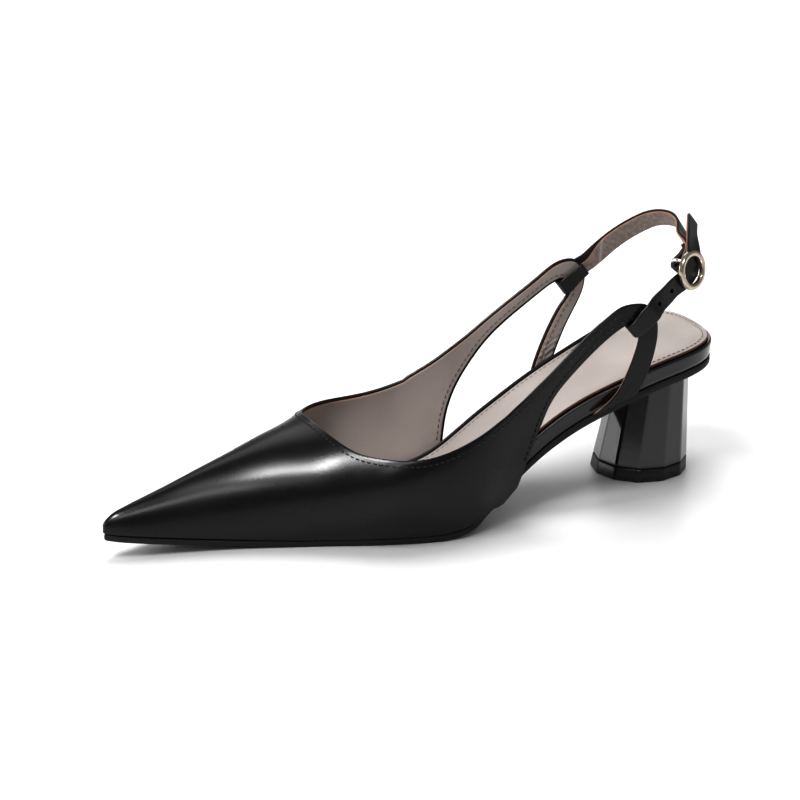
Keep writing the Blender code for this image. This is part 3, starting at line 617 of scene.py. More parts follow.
# %% Sheet of the upper
RIBS_BEFORE_THROAT = 4
share = np.linspace(0, 1, ACROSS)[:, None]
cell = np.arange(len(lower_line) * ACROSS).reshape(-1, ACROSS)
upper_rim = np.concatenate([
    cell[:-1, 0],
    cell[-1, :-1],
    cell[:TIP + RIDGE_RIBS:-1, -1],
    cell[TIP - RIDGE_RIBS:0:-1, -1],
    cell[0, :0:-1],
])


def upper_sheet(lower, upper):
    """Chart, grid and normals between two lines on the last: averaged on the ridge, exact behind it."""
    chart = lower[:, None] + (upper - lower)[:, None] * share
    points = last_point(chart[..., 0], rib_side[:, None], chart[..., 1])
    normals, pair = sheet_normals(points), np.arange(RIDGE_RIBS + 1)
    behind = np.abs(np.arange(len(chart)) - TIP) >= RIDGE_RIBS - RIBS_BEFORE_THROAT
    exact = wall_frame(chart[..., 0], rib_side[:, None] + 0 * chart[..., 0], chart[..., 1])[3]
    normals = np.where(behind[:, None, None], exact, normals)
    ridge = unit(normals[TIP - pair, -1] + normals[TIP + pair, -1])
    normals[TIP - pair, -1], normals[TIP + pair, -1] = ridge, ridge
    return chart, points, normals


_, upper_points, upper_normals = upper_sheet(lower_line, upper_line)
print(upper_points.shape[:2], "points on the sheet of the upper")

# %% Upper leather
LINING_DEPTH, RIM_BULGE, RIM_STEPS, RAW_RIBS_END = 0.5, 0.42, 4, (56, 74)
leather = wall(upper_points, upper_normals, WALL, LINING_DEPTH, upper_rim, RIM_BULGE, RIM_STEPS)
raw_rim = (upper_rim % ACROSS == 0) * (1 - smooth_step(upper_rim // ACROSS, *RAW_RIBS_END))
raw = np.concatenate([np.zeros(2 * upper_points[..., 0].size), np.tile(raw_rim, RIM_STEPS)])
marks = leather[2] | {"raw": raw}
add_piece("upper_leather", *leather[:2], UPPER_LEATHER, "upper_leather", ["upper"], marks)

# %% Lining of the upper
LINING_INSET, LINING_BULGE, LINING_PLAY, LINING_BACK = 0.7, 0.12, 0.02, -0.03
CREASE_HEIGHT, CREASE_WAVES, CREASE_FRONT = 0.34, 4.6, -50
CREASE_START, CREASE_END = (0.3, 2.5), (7, 12)
lined = {}
for name, (ends, side) in EDGES.items():
    depth = LINING_INSET * edge_fade(len(ends), *((1, 1) if name == "topline" else (8, 8)))
    lined[name] = set_in(ends, side, depth)
lining_lower, lining_upper = lower_line.copy(), upper_line.copy()
lining_lower[:BAND_RIBS], lining_lower[-BAND_RIBS:] = lined["lateral_cutout"], lined["medial_cutout"]
lining_upper[:len(near_top)] = lined["topline"][::-1][:len(near_top)]
lining_upper[-len(far_top):] = lined["topline"][::-1][len(near_top):]
lining_upper[TIP + RIDGE_RIBS] = lining_upper[TIP - RIDGE_RIBS]
chart, lining_points, lining_normals = upper_sheet(lining_lower, lining_upper)
medial_rear = (rib_side[:, None] > 0) * (chart[..., 0] > CREASE_FRONT)
creased = window(chart[..., 1], CREASE_START, CREASE_END) * medial_rear
wave = np.sin(chart[..., 1] * CREASE_WAVES + 0.5 * np.sin(chart[..., 0])) ** 3
inside = CREASE_HEIGHT * creased * wave + LINING_BACK
lining = wall(lining_points, lining_normals, LINING_DEPTH - LINING_PLAY, inside, upper_rim, LINING_BULGE)
add_piece("upper_lining", *lining[:2], LINING, "sock_leather", (), lining[2])

# %% [markdown]
# ## Layers of the sole
# Footbed, sock and outsole share one outline, set in or out by a little. Each layer is a stack of closed
# rings round that outline: a ring squeezed onto the centre line closes the underside, the next rings climb
# the edge, and rings squeezed towards the centre line close the top.

# %% Rings round the outline
RING_POINTS, RING_EVEN = 150, 0.18


def outline(x, inset):
    """Lateral and medial y of a sole layer that lies inset inside the feather line, round at toe and seat."""
    lateral, medial = LAST["lateral"](x) + inset, LAST["medial"](x) - inset
    middle = (lateral + medial) / 2
    back = np.clip((x - SEAT_CURVE_START) / (SEAT_BACK - inset - SEAT_CURVE_START), 0, 1)
    nose = np.clip((x - TOE_TIP - inset) / NOSE_LENGTH, 0, 1)
    scale = (1 - back**SEAT_SQUARENESS) ** (1 / SEAT_SQUARENESS) * np.sqrt(1 - (1 - nose) ** 2)
    return middle + (lateral - middle) * scale, middle + (medial - middle) * scale


def ring_round(inset, height, squeeze=1.0, count=RING_POINTS):
    """Closed ring: out along the lateral side, back along the medial one, squeezed to the centre line."""
    start, end = TOE_TIP + float(inset(np.array(TOE_TIP))), SEAT_BACK - float(inset(np.array(SEAT_BACK)))
    turn = np.linspace(0, math.pi, count)
    x = start + (end - start) * ((1 - RING_EVEN) * (1 - np.cos(turn)) / 2 + RING_EVEN * turn / math.pi)
    near, far = outline(x, inset(x))
    middle = (near + far) / 2
    sides = [middle + (side - middle) * squeeze for side in (near, far)]
    x, y = np.concatenate([x, x[::-1]]), np.concatenate([sides[0], sides[1][::-1]])
    return np.stack([x, y, height(x, abs(squeeze))], axis=1)


def layer(rows, inward=(0,)):
    """Closed layer from rows (inset, height) up its edge, squeezed shut below, and along inward on top."""
    rings = [ring_round(*rows[0], 0)] + [ring_round(*row) for row in rows]
    points = np.stack(rings + [ring_round(*rows[-1], squeeze) for squeeze in inward])
    return points, tube_faces(points)[:, ::-1]


def flat(value):
    """The same inset all round."""
    return lambda x: value + 0 * x


# %% [markdown]
# ## Footbed, sock and outsole
# The footbed's board is wrapped in black leather whose edge leans in towards the bottom and rolls over at the
# top. The sock is a greige leather pad glued on it, with a brown cut edge and a row of stitches; at the seat
# it is a little hollow, as a trodden pad is. The outsole stands a millimetre proud of the upper in front and
# a millimetre inside the footbed behind. Its tread is plain and matt.

# %% Sole finishes


def make_wrap():
    finish = Finish("wrap_leather", specular_ior_level=0.5, coat_roughness=0.2)
    cloud, lip = finish.noise(70.0, 3.0), finish.mark("lip")
    rough, coat = 0.2 + 0.1 * cloud + 0.5 * lip, (0.7 + 0.2 * cloud) * (1 - lip)
    normal = finish.bump(calf_grain(finish), 0.12, 0.00015)
    return finish.set(base_color=worn_black(finish, cloud), roughness=rough, coat_weight=coat, normal=normal)


def make_sock():
    finish = Finish("sock_leather", specular_ior_level=0.4)
    cloud, edge = finish.noise(35.0, 4.0), finish.mark("edge")
    face = finish.blend(finish.ramp(cloud, 0.3, 0.7), (0.45, 0.407, 0.385, 1), (0.51, 0.467, 0.444, 1))
    colour = finish.blend(finish.ramp(edge, 0.75, 0.95), face, (0.16, 0.075, 0.042, 1))
    normal = finish.bump(calf_grain(finish, 1600.0, 450.0), 0.18, 0.00025)
    return finish.set(base_color=colour, roughness=0.46 + 0.16 * cloud, normal=normal)


def make_outsole():
    finish = Finish("outsole_rubber", specular_ior_level=0.4)
    speck, cloud = finish.noise(2400.0, 2.0), finish.noise(40.0, 3.0)
    colour = finish.blend(cloud, (0.014, 0.014, 0.014, 1), (0.026, 0.025, 0.025, 1))
    normal = finish.bump(speck, 0.25, 0.0002)
    return finish.set(base_color=colour, roughness=0.46 + 0.16 * cloud, normal=normal)


WRAP, SOCK, OUTSOLE = make_wrap(), make_sock(), make_outsole()
print("sole finishes:", WRAP.name, SOCK.name, OUTSOLE.name)

# %% Footbed
BOARD_TAPER, SEAT_TAPER, TAPER_STEP = 1.5, 0.5, (-100, -88)
LIP_HEIGHT, LIP_START, LIP_END = 2.2, (-118, -98), (-14, 10)
EDGE_COLUMNS = ("taper", "inset", "climb", "lip")
EDGE_ROWS = (
    (1.0, 0.4, 0.0, 0.0),
    (1.0, 0.0, 0.08, 0.0),
    (0.35, 0.0, 0.62, 0.0),
    (0.0, 0.0, 0.84, 0.3),
    (0.0, 0.1, 0.94, 0.9),
    (0.0, 0.45, 1.0, 1.0),
    (0.0, 0.85, 1.0, 0.85),
    (0.0, 0.95, 1.0, 0.0),
)


def board_inset(taper, inset):
    """Inset of a row of the edge: its own plus a share of the taper, which is less behind the ball."""
    return lambda x: inset + 2 * GAP + taper * ease(x, BOARD_TAPER, SEAT_TAPER, TAPER_STEP)


def lip_share(x):
    """1 along the medial half of a ring between ball and seat, eased at both ends; 0 on the lateral half."""
    return window(x, LIP_START, LIP_END) * (np.arange(len(x)) >= len(x) // 2)


def at_share(low, high, climb, lip=0.0):
    """Height a share of the way from one curve to another, plus a share of the lip on the medial side."""

    def height(x, squeeze):
        return low(x) + (high(x) - low(x)) * climb + lip * LIP_HEIGHT * lip_share(x) * squeeze / upright(x)

    return height


edge = dict(zip(EDGE_COLUMNS, np.array(EDGE_ROWS).T))
fine = np.concatenate([np.linspace(0, 3, 10)[:-1], np.linspace(3, 7, 13)])
edge = {name: np.interp(fine, np.arange(len(EDGE_ROWS)), column) for name, column in edge.items()}
rows = []
for taper, inset, climb, lip in zip(*edge.values()):
    rows.append((board_inset(taper, inset), at_share(board_bottom, board_top, climb, lip)))
footbed = layer(rows)
lip_mark = np.concatenate([[0], edge["lip"], [1]])[:, None] * lip_share(footbed[0][1, :, 0])
add_piece("wrapped_footbed", *footbed, WRAP, "wrap_leather", ["footbed"], {"lip": lip_mark})

# %% Sock
SOCK_MARGIN, SOCK_THICKNESS, SOCK_INWARD, SOCK_RINGS = 1.6, 1.0, 0.94, 12
SEAT_HOLLOW, HOLLOW_STEP = 0.7, (-40, -5)
SOCK_EDGE_COLUMNS = ("inset", "climb", "brown")
SOCK_EDGE_ROWS = ((0, 0, 1), (0, 0.5, 1), (0.08, 0.75, 1), (0.22, 0.92, 0.8), (0.45, 1, 0.3))


def sock_height(lift):
    """Board plus a lift, less a hollow at the seat that is deepest on the centre line."""

    def height(x, squeeze):
        hollow = SEAT_HOLLOW * smooth_step(x, *HOLLOW_STEP) * (1 - squeeze**2) * min(lift, 1)
        return board_top(x) + (GAP + lift - hollow) / upright(x)

    return height


edge = dict(zip(SOCK_EDGE_COLUMNS, np.array(SOCK_EDGE_ROWS).T))
sock_in, sock_up = edge["inset"] + GAP + SOCK_MARGIN, edge["climb"] * SOCK_THICKNESS
inward = np.linspace(SOCK_INWARD, 0, SOCK_RINGS)
sock = layer([(flat(inset), sock_height(lift)) for inset, lift in zip(sock_in, sock_up)], inward)
brown = np.concatenate([[1], edge["brown"], 0 * inward])
marks = {"edge": np.repeat(brown, sock[0].shape[1])}
add_piece("sock", *sock, SOCK, "sock_leather", ["sock"], marks)

# %% Outsole
PROUD_FORE, PROUD_SEAT, DRAWN_IN = 1.1, -1.0, (-90, -80)
# Rows of the outsole's edge: inset and climb
OUTSOLE_ROWS = ((0.5, 0), (0.28, 0.06), (0.1, 0.15), (0, 0.28), (0, 0.9), (0.12, 1))


def outsole_inset(more):
    """Proud of the feather line in front, drawn in under the footbed behind the ball."""
    return lambda x: more - ease(x, PROUD_FORE, PROUD_SEAT, DRAWN_IN)


rows = [(outsole_inset(more), at_share(tread_height, outsole_top, climb)) for more, climb in OUTSOLE_ROWS]
add_piece("outsole", *layer(rows), OUTSOLE, "outsole_rubber", ["outsole"], sharp=50)

# %% [markdown]
# ## The heel
# The heel is a lacquered block with twelve flat sides that flares towards the floor. Its corners are slightly
# eased, because lacquer never keeps a knife edge. Each ring is therefore a polygon whose corners are short
# arcs; the top ring rises until it meets the underside of the outsole, and a separate tip closes the base.

# %% Heel finishes


def make_lacquer():
    finish = Finish("heel_lacquer", coat_roughness=0.03, specular_ior_level=0.55)
    cloud = finish.noise(90.0, 2.0)
    colour = finish.blend(cloud, (0.017, 0.017, 0.0175, 1), (0.024, 0.024, 0.025, 1))
    normal = finish.bump(finish.noise(160.0, 1.0), 0.04, 0.0004)
    rough, coat = 0.05 + 0.05 * cloud, 0.82 + 0.15 * cloud
    return finish.set(base_color=colour, roughness=rough, coat_weight=coat, normal=normal)


def make_mottled(name, scale, dark, light, rough, spread, bump, **constants):
    """Finish of one noise: it turns dark into light, adds to the roughness and raises a bump."""
    finish = Finish(name, **constants)
    cloud = finish.noise(scale, 2.0)
    colour, normal = finish.blend(cloud, dark, light), finish.bump(cloud, bump, 0.0001)
    return finish.set(base_color=colour, roughness=rough + spread * cloud, normal=normal)


LACQUER, TIP_DARK, TIP_LIGHT = make_lacquer(), (0.016, 0.016, 0.016, 1), (0.026, 0.026, 0.026, 1)
TIP_RUBBER = make_mottled("tip_rubber", 900.0, TIP_DARK, TIP_LIGHT, 0.22, 0.14, 0.1, specular_ior_level=0.45)
print("heel finishes:", LACQUER.name, TIP_RUBBER.name)

# %% Heel and tip
HEEL_SIDES, HEEL_TOP_RADIUS, HEEL_LEAN, HEEL_TOP_HEIGHT, TIP_HEIGHT = 12, 13.2, 6.0, 50.0, 5.0
CORNER_EASE, HEEL_SHARP, HEEL_CLIMBS = 0.9, 40, (0.012, 0.03, 0.25, 0.5, 0.75, 1)
# Rings of the tip: height, inset and squeeze
TIP_ROWS = (
    (0, 0.5, 0), (0, 0.5, 1), (0.15, 0.15, 1), (0.5, 0, 1),
    (4.6, 0, 1), (4.88, 0.12, 1), (5, 0.4, 1), (5, 0.4, 0),
)


def polygon_ring():
    """Unit twelve-gon with a corner straight back: flats joined by quadratic arcs at the eased corners."""
    corner = np.arange(HEEL_SIDES) * 2 * math.pi / HEEL_SIDES
    spots = np.stack([np.cos(corner), np.sin(corner)], axis=1)
    cut = CORNER_EASE / HEEL_BASE_RADIUS
    before = unit(np.roll(spots, 1, axis=0) - spots)[:, None] * cut
    after = unit(np.roll(spots, -1, axis=0) - spots)[:, None] * cut
    spots = spots[:, None]
    t = np.linspace(-0.25, 1.25, 7)[None, :, None]
    inside = np.clip(t, 0, 1)
    start, end = (1 - inside) ** 2 * (spots + before), inside**2 * (spots + after)
    arc = start + 2 * inside * (1 - inside) * spots + end
    over = np.maximum(-t, 0) * before + np.maximum(t - 1, 0) * after
    return (arc + over).reshape(-1, 2)


POLYGON = polygon_ring()


def heel_ring(height, inset=0.0, squeeze=1.0):
    """The polygon at a height: its radius shrinks and its centre leans evenly up to the heel's top."""
    climb = np.broadcast_to(np.asarray(height, float) / HEEL_TOP_HEIGHT, len(POLYGON))
    radius = (HEEL_BASE_RADIUS + (HEEL_TOP_RADIUS - HEEL_BASE_RADIUS) * climb - inset) * squeeze
    x, y = radius * POLYGON[:, 0] + HEEL_LEAN * climb, radius * POLYGON[:, 1]
    return np.stack([x, y, climb * HEEL_TOP_HEIGHT], axis=1)


def under_sole(below, rounds=12):
    """Height at which each corner meets the outsole: z = tread at its x, repeated until it settles."""
    height = np.full(len(POLYGON), HEEL_TOP_HEIGHT - 8)
    for _ in range(rounds):
        x = np.minimum(heel_ring(height)[:, 0], SEAT_BACK)
        height = tread_height(x) - below / upright(x)
    return height


heel_top, base = under_sole(GAP), TIP_HEIGHT + GAP
top_ring = heel_ring(heel_top)
top_middle = top_ring.mean(axis=0) + 0 * top_ring
climbs = [heel_ring(base + (heel_top - base) * step) for step in HEEL_CLIMBS]
foot = [heel_ring(base, squeeze=0), heel_ring(base, 0.35), heel_ring(base + 0.12, 0.1)]
points = np.stack(foot + climbs + [top_middle])
add_piece("heel", points, tube_faces(points), LACQUER, "heel_lacquer", ["heel"], sharp=HEEL_SHARP)
points = np.stack([heel_ring(*row) for row in TIP_ROWS])
faces = tube_faces(points)
add_piece("heel_tip_cap", points, faces, TIP_RUBBER, "tip_rubber", ["heel_tip"], sharp=HEEL_SHARP)

# %% [markdown]
# ## The straps
# Both straps are folded round the rounded tops of the wings: an inside leg, half a turn in the cut-out and an
# outside leg, all following the wall of the upper. From there the sling strap goes behind the heel and round
# the buckle's bar, and the buckle strap passes behind the ring and ends in a loose tail. Each strap is two
# layers: black leather and a slightly narrower greige suede with a tan raw edge, which begins inside the fold
# and stops at the bar.

# %% Strap sizes and paths
STRAP_WIDTH, FOLD_LENGTH, FOLD_PINCH, PINCH_LENGTH, LEG_PINCH = 7.4, 12.0, 0.8, 6.0, 0.66
STRAP_PLAY, WIRE_RADIUS, TIP_SLANT, SLANT_ROWS, LANES = 0.4, 0.7, 3.0, 14, 13
FOLD_RADIUS = WALL / 2 + 1.3 * STRAP_PLAY + STRAP_THICKNESS / 2
BAR_FOLD_RADIUS = WIRE_RADIUS + STRAP_PLAY + STRAP_THICKNESS / 2
RING_OUTER, RING_INNER, RING_DEPTH = 7.4, 5.3, 1.8
RING_CENTRE = np.array([7.3, -23.5, 85.2])
RING_NORMAL, TAIL_OUT = unit(np.array([0.38, -0.91, 0.15])), unit(np.array([0.58, -0.80, 0.14]))
BAR_AHEAD, BAR_REACH, BAR_APPROACH, BAR_RETURN, SLING_ASIDE = 0.8, 6.35, 7.0, 11.0, -0.4
RETURN_SETTLES, RETURN_NARROWS, BAR_TURN_ROWS = (1.0, 5.0), 0.35, 19
# Points of a strap's middle line: x, y, z, its lean and the way it faces, in degrees
SLING_ROWS = (
    (-6.2, 25.4, 79.1, 10, 70),
    (-0.7, 23.4, 84.2, 18, 60),
    (4.2, 20.7, 88.4, 24, 50),
    (8.4, 17.4, 91.8, 28, 40),
    (11.9, 13.5, 94.4, 31, 30),
    (14.2, 9.2, 95.6, 31, 18),
    (15.5, 3.7, 95.9, 31, -4),
    (14.4, -2.8, 94.9, 30, -30),
    (11.4, -9.0, 92.9, 23, -52),
)
BUCKLE_STRAP_ROWS = ((-5.6, -26.3, 77.8, 1, -80), (-1.6, -25.0, 80.1, 3, -72))
RING_PASS = ((-0.55, 0.5), (0.05, -1.6), (0.85, 0.1))
TAIL_ROWS = ((10.1, -17.6, 96.6), (11.0, -16.0, 101.0))
# Fold on each side: x, rise, slant in degrees and length of the inside leg
FOLDS = {1: (-19.6, 21.7, 17, 9.5), -1: (-18.9, 20.55, 22, 6.5)}
LEG_ROWS, TURN_ROWS, OUT_ROWS, JOIN_ROWS, PATH_ROWS = 18, 21, 24, 5, 170
lane = np.linspace(-0.5, 0.5, LANES) * STRAP_WIDTH

# %% Fold round the wing


def fold_grid(side):
    """Inside leg, half circle and outside leg of a strap on the wall, and the wall's normals near its end."""
    x, rise, slant, inner_leg = FOLDS[side]
    slant, facing = math.radians(slant), np.asarray(side, float)
    _, along, climb, _ = wall_frame(np.array(x), facing, np.array(float(rise)))
    skew = climb @ along / (along @ along)
    climb = climb - skew * along
    along_length, climb_length = np.linalg.norm(along), np.linalg.norm(climb)
    direction = along / along_length * math.cos(slant) + climb / climb_length * math.sin(slant)

    def over(s, end_pinch):
        s = s[:, None]
        wide = lane * ease(s, FOLD_PINCH, end_pinch, (0, PINCH_LENGTH))
        forward = s * math.cos(slant) - wide * math.sin(slant)
        climbed = (s * math.sin(slant) + wide * math.cos(slant)) / climb_length
        point, _, _, normal = wall_frame(x + forward / along_length - climbed * skew, facing, rise + climbed)
        return point + normal * WALL / 2, normal

    def apart(s):
        shut = STRAP_THICKNESS / 2 + GAP / 2
        return ease(s, FOLD_RADIUS, shut, (0.7 * FOLD_LENGTH, FOLD_LENGTH))[:, None, None]

    into = np.linspace(inner_leg, 0, LEG_ROWS + 1)[:-1]
    out_of = np.linspace(0, FOLD_LENGTH, OUT_ROWS + 1)[1:]
    angle = np.linspace(0, math.pi, TURN_ROWS)[:, None, None]
    (inner, inner_normal), (outer, outer_normal) = over(into, LEG_PINCH), over(out_of, 1)
    edge, edge_normal = over(np.zeros(1), 1)
    turn = edge - FOLD_RADIUS * (edge_normal * np.cos(angle) + direction * np.sin(angle))
    grid = [inner - inner_normal * apart(into), turn, outer + outer_normal * apart(out_of)]
    return np.concatenate(grid), outer_normal[[-JOIN_ROWS, -1]].mean(axis=1)


# %% Path of a strap


def outward(rows):
    """Outward side of each strap row, from the way it turns round the ankle and its lean."""
    lean, turn = np.radians(np.array(rows, float)[:, 3:].T)
    return np.stack([np.cos(turn) * np.cos(lean), np.sin(turn) * np.cos(lean), np.sin(lean)], axis=1)


def lay_back(path, faces_out):
    """Folded end past the bar: the strap's own path read backwards, moved in until it lies on the strap."""
    turn = len(path) - BAR_TURN_ROWS
    ahead = unit(np.gradient(path, axis=0))
    square = unit(faces_out - ahead * np.sum(faces_out * ahead, axis=1, keepdims=True))
    back, outside = path[turn - 1::-1], square[turn - 1::-1]
    reach = np.cumsum(np.linalg.norm(np.diff(path[turn::-1], axis=0), axis=1))[:, None]
    settled = 2 * BAR_FOLD_RADIUS - STRAP_THICKNESS - GAP
    inward = 2 * BAR_FOLD_RADIUS - settled * smooth_step(reach, *RETURN_SETTLES)
    near = reach[:, 0] < BAR_RETURN
    returned = back[near] - outside[near] * inward[near]
    return np.concatenate([path, returned]), np.concatenate([faces_out, -outside[near]])


def strap_sheet(side, free, free_out, ending, ending_out, joint):
    """Fold, then a spline through the free points, then the ending; the width is path x outward side."""
    hook, hook_out = fold_grid(side)
    bend = np.concatenate([hook[[-JOIN_ROWS, -1]].mean(axis=1), free, ending[joint]])
    bend_out = np.concatenate([hook_out, free_out, ending_out[joint]])
    chord = np.concatenate([[0], np.cumsum(np.linalg.norm(np.diff(bend, axis=0), axis=1))])
    even, rest = np.linspace(0, chord[-1], PATH_ROWS), joint[-1] + 1 if joint else 0
    path = np.stack([spline(chord, column)(even) for column in bend.T], axis=1)
    faces_out = np.stack([np.interp(even, chord, column) for column in bend_out.T], axis=1)
    path, faces_out = np.concatenate([path, ending[rest:]]), np.concatenate([faces_out, ending_out[rest:]])
    if joint:
        path, faces_out = lay_back(path, faces_out)
    across = unit(np.cross(np.gradient(path, axis=0), faces_out))
    rows = path[:, None] + across[:, None] * lane[:, None]
    rows = rows if (hook[-1, -1] - hook[-1, 0]) @ (rows[1, -1] - rows[1, 0]) > 0 else rows[:, ::-1]
    return np.concatenate([hook[:-JOIN_ROWS], rows])


ring_along = np.array(TAIL_ROWS[0]) - np.array(BUCKLE_STRAP_ROWS[-1])[:3]
ring_along = unit(ring_along - RING_NORMAL * (ring_along @ RING_NORMAL))
ring_across = np.cross(RING_NORMAL, ring_along)
strap_depth = -(RING_DEPTH / 2 + STRAP_PLAY + STRAP_THICKNESS / 2)
bar_depth = strap_depth - 1.5 * STRAP_THICKNESS - 2 * STRAP_PLAY - WIRE_RADIUS
bar = RING_CENTRE + ring_along * BAR_AHEAD + RING_NORMAL * bar_depth + ring_across * SLING_ASIDE

# %% Layers of a strap
LEATHER, SUEDE_IN, EDGE_BULGE, SUEDE_BULGE, SUEDE_PLAY = 0.75, 0.4, 0.22, 0.1, 0.02
SEAM_X, SEAM_WIDTH, SEAM_BEYOND = -4.8, 0.35, 20


def faced(sheet, side):
    """The sheet with its normals turned away from the wall at the fold's outside leg."""
    normals = sheet_normals(sheet)
    x, rise = FOLDS[side][:2]
    out = wall_frame(np.array(x), np.asarray(side, float), np.array(float(rise)))[3]
    leg = LEG_ROWS + TURN_ROWS + OUT_ROWS // 3
    return (sheet, normals) if normals[leg, LANES // 2] @ out > 0 else (sheet[:, ::-1], -normals[:, ::-1])


def reread(grid, share):
    """The grid read again at shares of its width, straight between neighbouring lanes."""
    spot = share * (LANES - 1)
    low = np.clip(np.floor(spot).astype(int), 0, LANES - 2)
    rows, part = np.arange(len(grid))[:, None], (spot - low)[..., None]
    return grid[rows, low] * (1 - part) + grid[rows, low + 1] * part


def add_strap(name, sheet, side, top_in, stop):
    """Leather over the whole sheet, and suede under it up to the row stop, set in by top_in at its top."""
    sheet, normals = faced(sheet, side)
    half, start = STRAP_THICKNESS / 2, LEG_ROWS + TURN_ROWS
    under = np.where(np.arange(len(sheet)) < stop, half - LEATHER, -half)
    made = wall(sheet, normals, half, np.repeat(under, LANES), border(*sheet.shape[:2]), EDGE_BULGE)
    leather = add_piece(name + "_leather", *made[:2], STRAP, "strap_leather", [name], made[2])
    top_last = sheet[start, -1, 2] > sheet[start, 0, 2]
    first, last = (SUEDE_IN + 0 * top_in, top_in) if top_last else (top_in, SUEDE_IN + 0 * top_in)
    spread = np.linspace(0, 1, LANES)
    share = (first + np.outer(spread, 1) * (STRAP_WIDTH - first - last)).T / STRAP_WIDTH
    inner, inner_normals = reread(sheet, share)[start:stop], reread(normals, share)[start:stop]
    face, rim = half - LEATHER - SUEDE_PLAY, border(*inner.shape[:2])
    made = wall(inner, unit(inner_normals), face, -half, rim, SUEDE_BULGE)
    seam = np.exp(-((made[0][:, 0] - SEAM_X) / SEAM_WIDTH) ** 2) * (made[0][:, 1] > SEAM_BEYOND)
    add_piece(name + "_suede", *made[:2], SUEDE, "strap_leather", (), made[2] | {"seam": seam})
    return sheet, normals, leather


# %% Sling strap
FOLD_BARE, BARE_ROWS, APPROACH_ROWS = 2.4, (20, 54), 10


def bar_fold():
    """End of the sling strap: along the outer side of the bar and half round it."""
    ahead = np.linspace(BAR_APPROACH, 0, APPROACH_ROWS)[:-1, None]
    angle = np.linspace(0, math.pi, BAR_TURN_ROWS)[:, None]
    around = RING_NORMAL * np.cos(angle) - ring_along * np.sin(angle)
    path = [bar + RING_NORMAL * BAR_FOLD_RADIUS + ring_along * ahead, bar + around * BAR_FOLD_RADIUS]
    return np.concatenate(path), np.concatenate([RING_NORMAL + 0 * ahead, around])


sling_free = np.array(SLING_ROWS)[:, :3]
sling_sheet = strap_sheet(1, sling_free, outward(SLING_ROWS), *bar_fold(), [0, 3])
sling_row = np.arange(len(sling_sheet))
sling_top = SUEDE_IN + FOLD_BARE * (1 - smooth_step(sling_row - LEG_ROWS - TURN_ROWS, *BARE_ROWS))
centre = sling_sheet.mean(axis=1, keepdims=True)
at_bar = np.linalg.norm(centre[:, 0] - bar - RING_NORMAL * BAR_FOLD_RADIUS, axis=1).argmin()
drawn_in = smooth_step(sling_row, at_bar + BAR_TURN_ROWS, sling_row[-1])[:, None, None]
sling_sheet = centre + (sling_sheet - centre) * (1 - RETURN_NARROWS * drawn_in)
add_strap("sling_strap", sling_sheet, 1, sling_top, at_bar)

# %% Buckle strap with its slanted tail
spread, aside = np.array(RING_PASS)[:, :1] * RING_OUTER, np.array(RING_PASS)[:, 1:]
behind_ring = RING_CENTRE + RING_NORMAL * strap_depth + ring_along * spread + ring_across * aside
free = np.concatenate([np.array(BUCKLE_STRAP_ROWS)[:, :3], behind_ring, np.array(TAIL_ROWS)])
free_out = np.concatenate([outward(BUCKLE_STRAP_ROWS), RING_NORMAL + 0 * spread, [TAIL_OUT, TAIL_OUT]])
none = np.empty((0, 3))
buckle_sheet = strap_sheet(-1, free, free_out, none, none, [])
tail_way = unit(buckle_sheet[-1].mean(axis=0) - buckle_sheet[-2].mean(axis=0))
row_count = len(buckle_sheet)
slant = TIP_SLANT * smooth_step(np.arange(row_count), row_count - SLANT_ROWS, row_count - 1)
buckle_sheet = buckle_sheet + tail_way * slant[:, None, None] * np.linspace(0, 1, LANES)[:, None]
buckle_top = np.full(row_count, SUEDE_IN)
buckle_sheet, buckle_normals, buckle = add_strap("buckle_strap", buckle_sheet, -1, buckle_top, row_count)

# %% [markdown]
# ## Strap holes
# Two holes are punched in the buckle strap's leather before the ring, down to the layer under it. Each is a
# short cylinder square to the strap, taken away by an exact Boolean that is applied at once.

# %% Strap holes
HOLE_RADIUS, HOLE_X, HOLE_SIDES, HOLE_REACH = 0.9, (-9.3, -3.2), 24, 3
middle, out = buckle_sheet[:, LANES // 2], buckle_normals[:, LANES // 2]
outside = np.arange(len(middle)) > LEG_ROWS + TURN_ROWS


def punch(piece, x):
    """Takes a cylinder through the strap where its middle line crosses x."""
    row = np.argmin(np.abs(middle[:, 0] - x) + np.where(outside, 0, 100))
    turn = np.linspace(0, 2 * math.pi, HOLE_SIDES, endpoint=False)[:, None]
    side = unit(np.cross(out[row], (0.0, 0.0, 1.0)))
    circle = HOLE_RADIUS * (side * np.cos(turn) + np.cross(out[row], side) * np.sin(turn))
    wide, deep = np.array([0, 1, 1, 0])[:, None, None], np.array([-1, -1, 1, 1])[:, None, None]
    rings = middle[row] + wide * circle + out[row] * deep * HOLE_REACH
    cutter_mesh = bpy.data.meshes.new("punch")
    points = (rings + SHIFT).reshape(-1, 3) * MM
    cutter_mesh.from_pydata(points, [], tube_faces(rings)[:, ::-1].tolist())
    bm = bmesh.new()
    bm.from_mesh(cutter_mesh)
    bmesh.ops.remove_doubles(bm, verts=bm.verts, dist=MERGE_WITHIN)
    bmesh.ops.recalc_face_normals(bm, faces=bm.faces)
    bm.to_mesh(cutter_mesh)
    bm.free()
    cutter = bpy.data.objects.new("punch", cutter_mesh)
    bpy.context.scene.collection.objects.link(cutter)
    hole = piece.modifiers.new("hole", "BOOLEAN")
    hole.operation, hole.solver, hole.object = "DIFFERENCE", "EXACT", cutter
    cut = bpy.data.meshes.new_from_object(piece.evaluated_get(bpy.context.evaluated_depsgraph_get()))
    piece.modifiers.clear()
    piece.data = cut
    bpy.data.objects.remove(cutter)


for x in HOLE_X:
    punch(buckle, x)
print("two holes,", len(buckle.data.polygons), "faces left on the strap's leather")

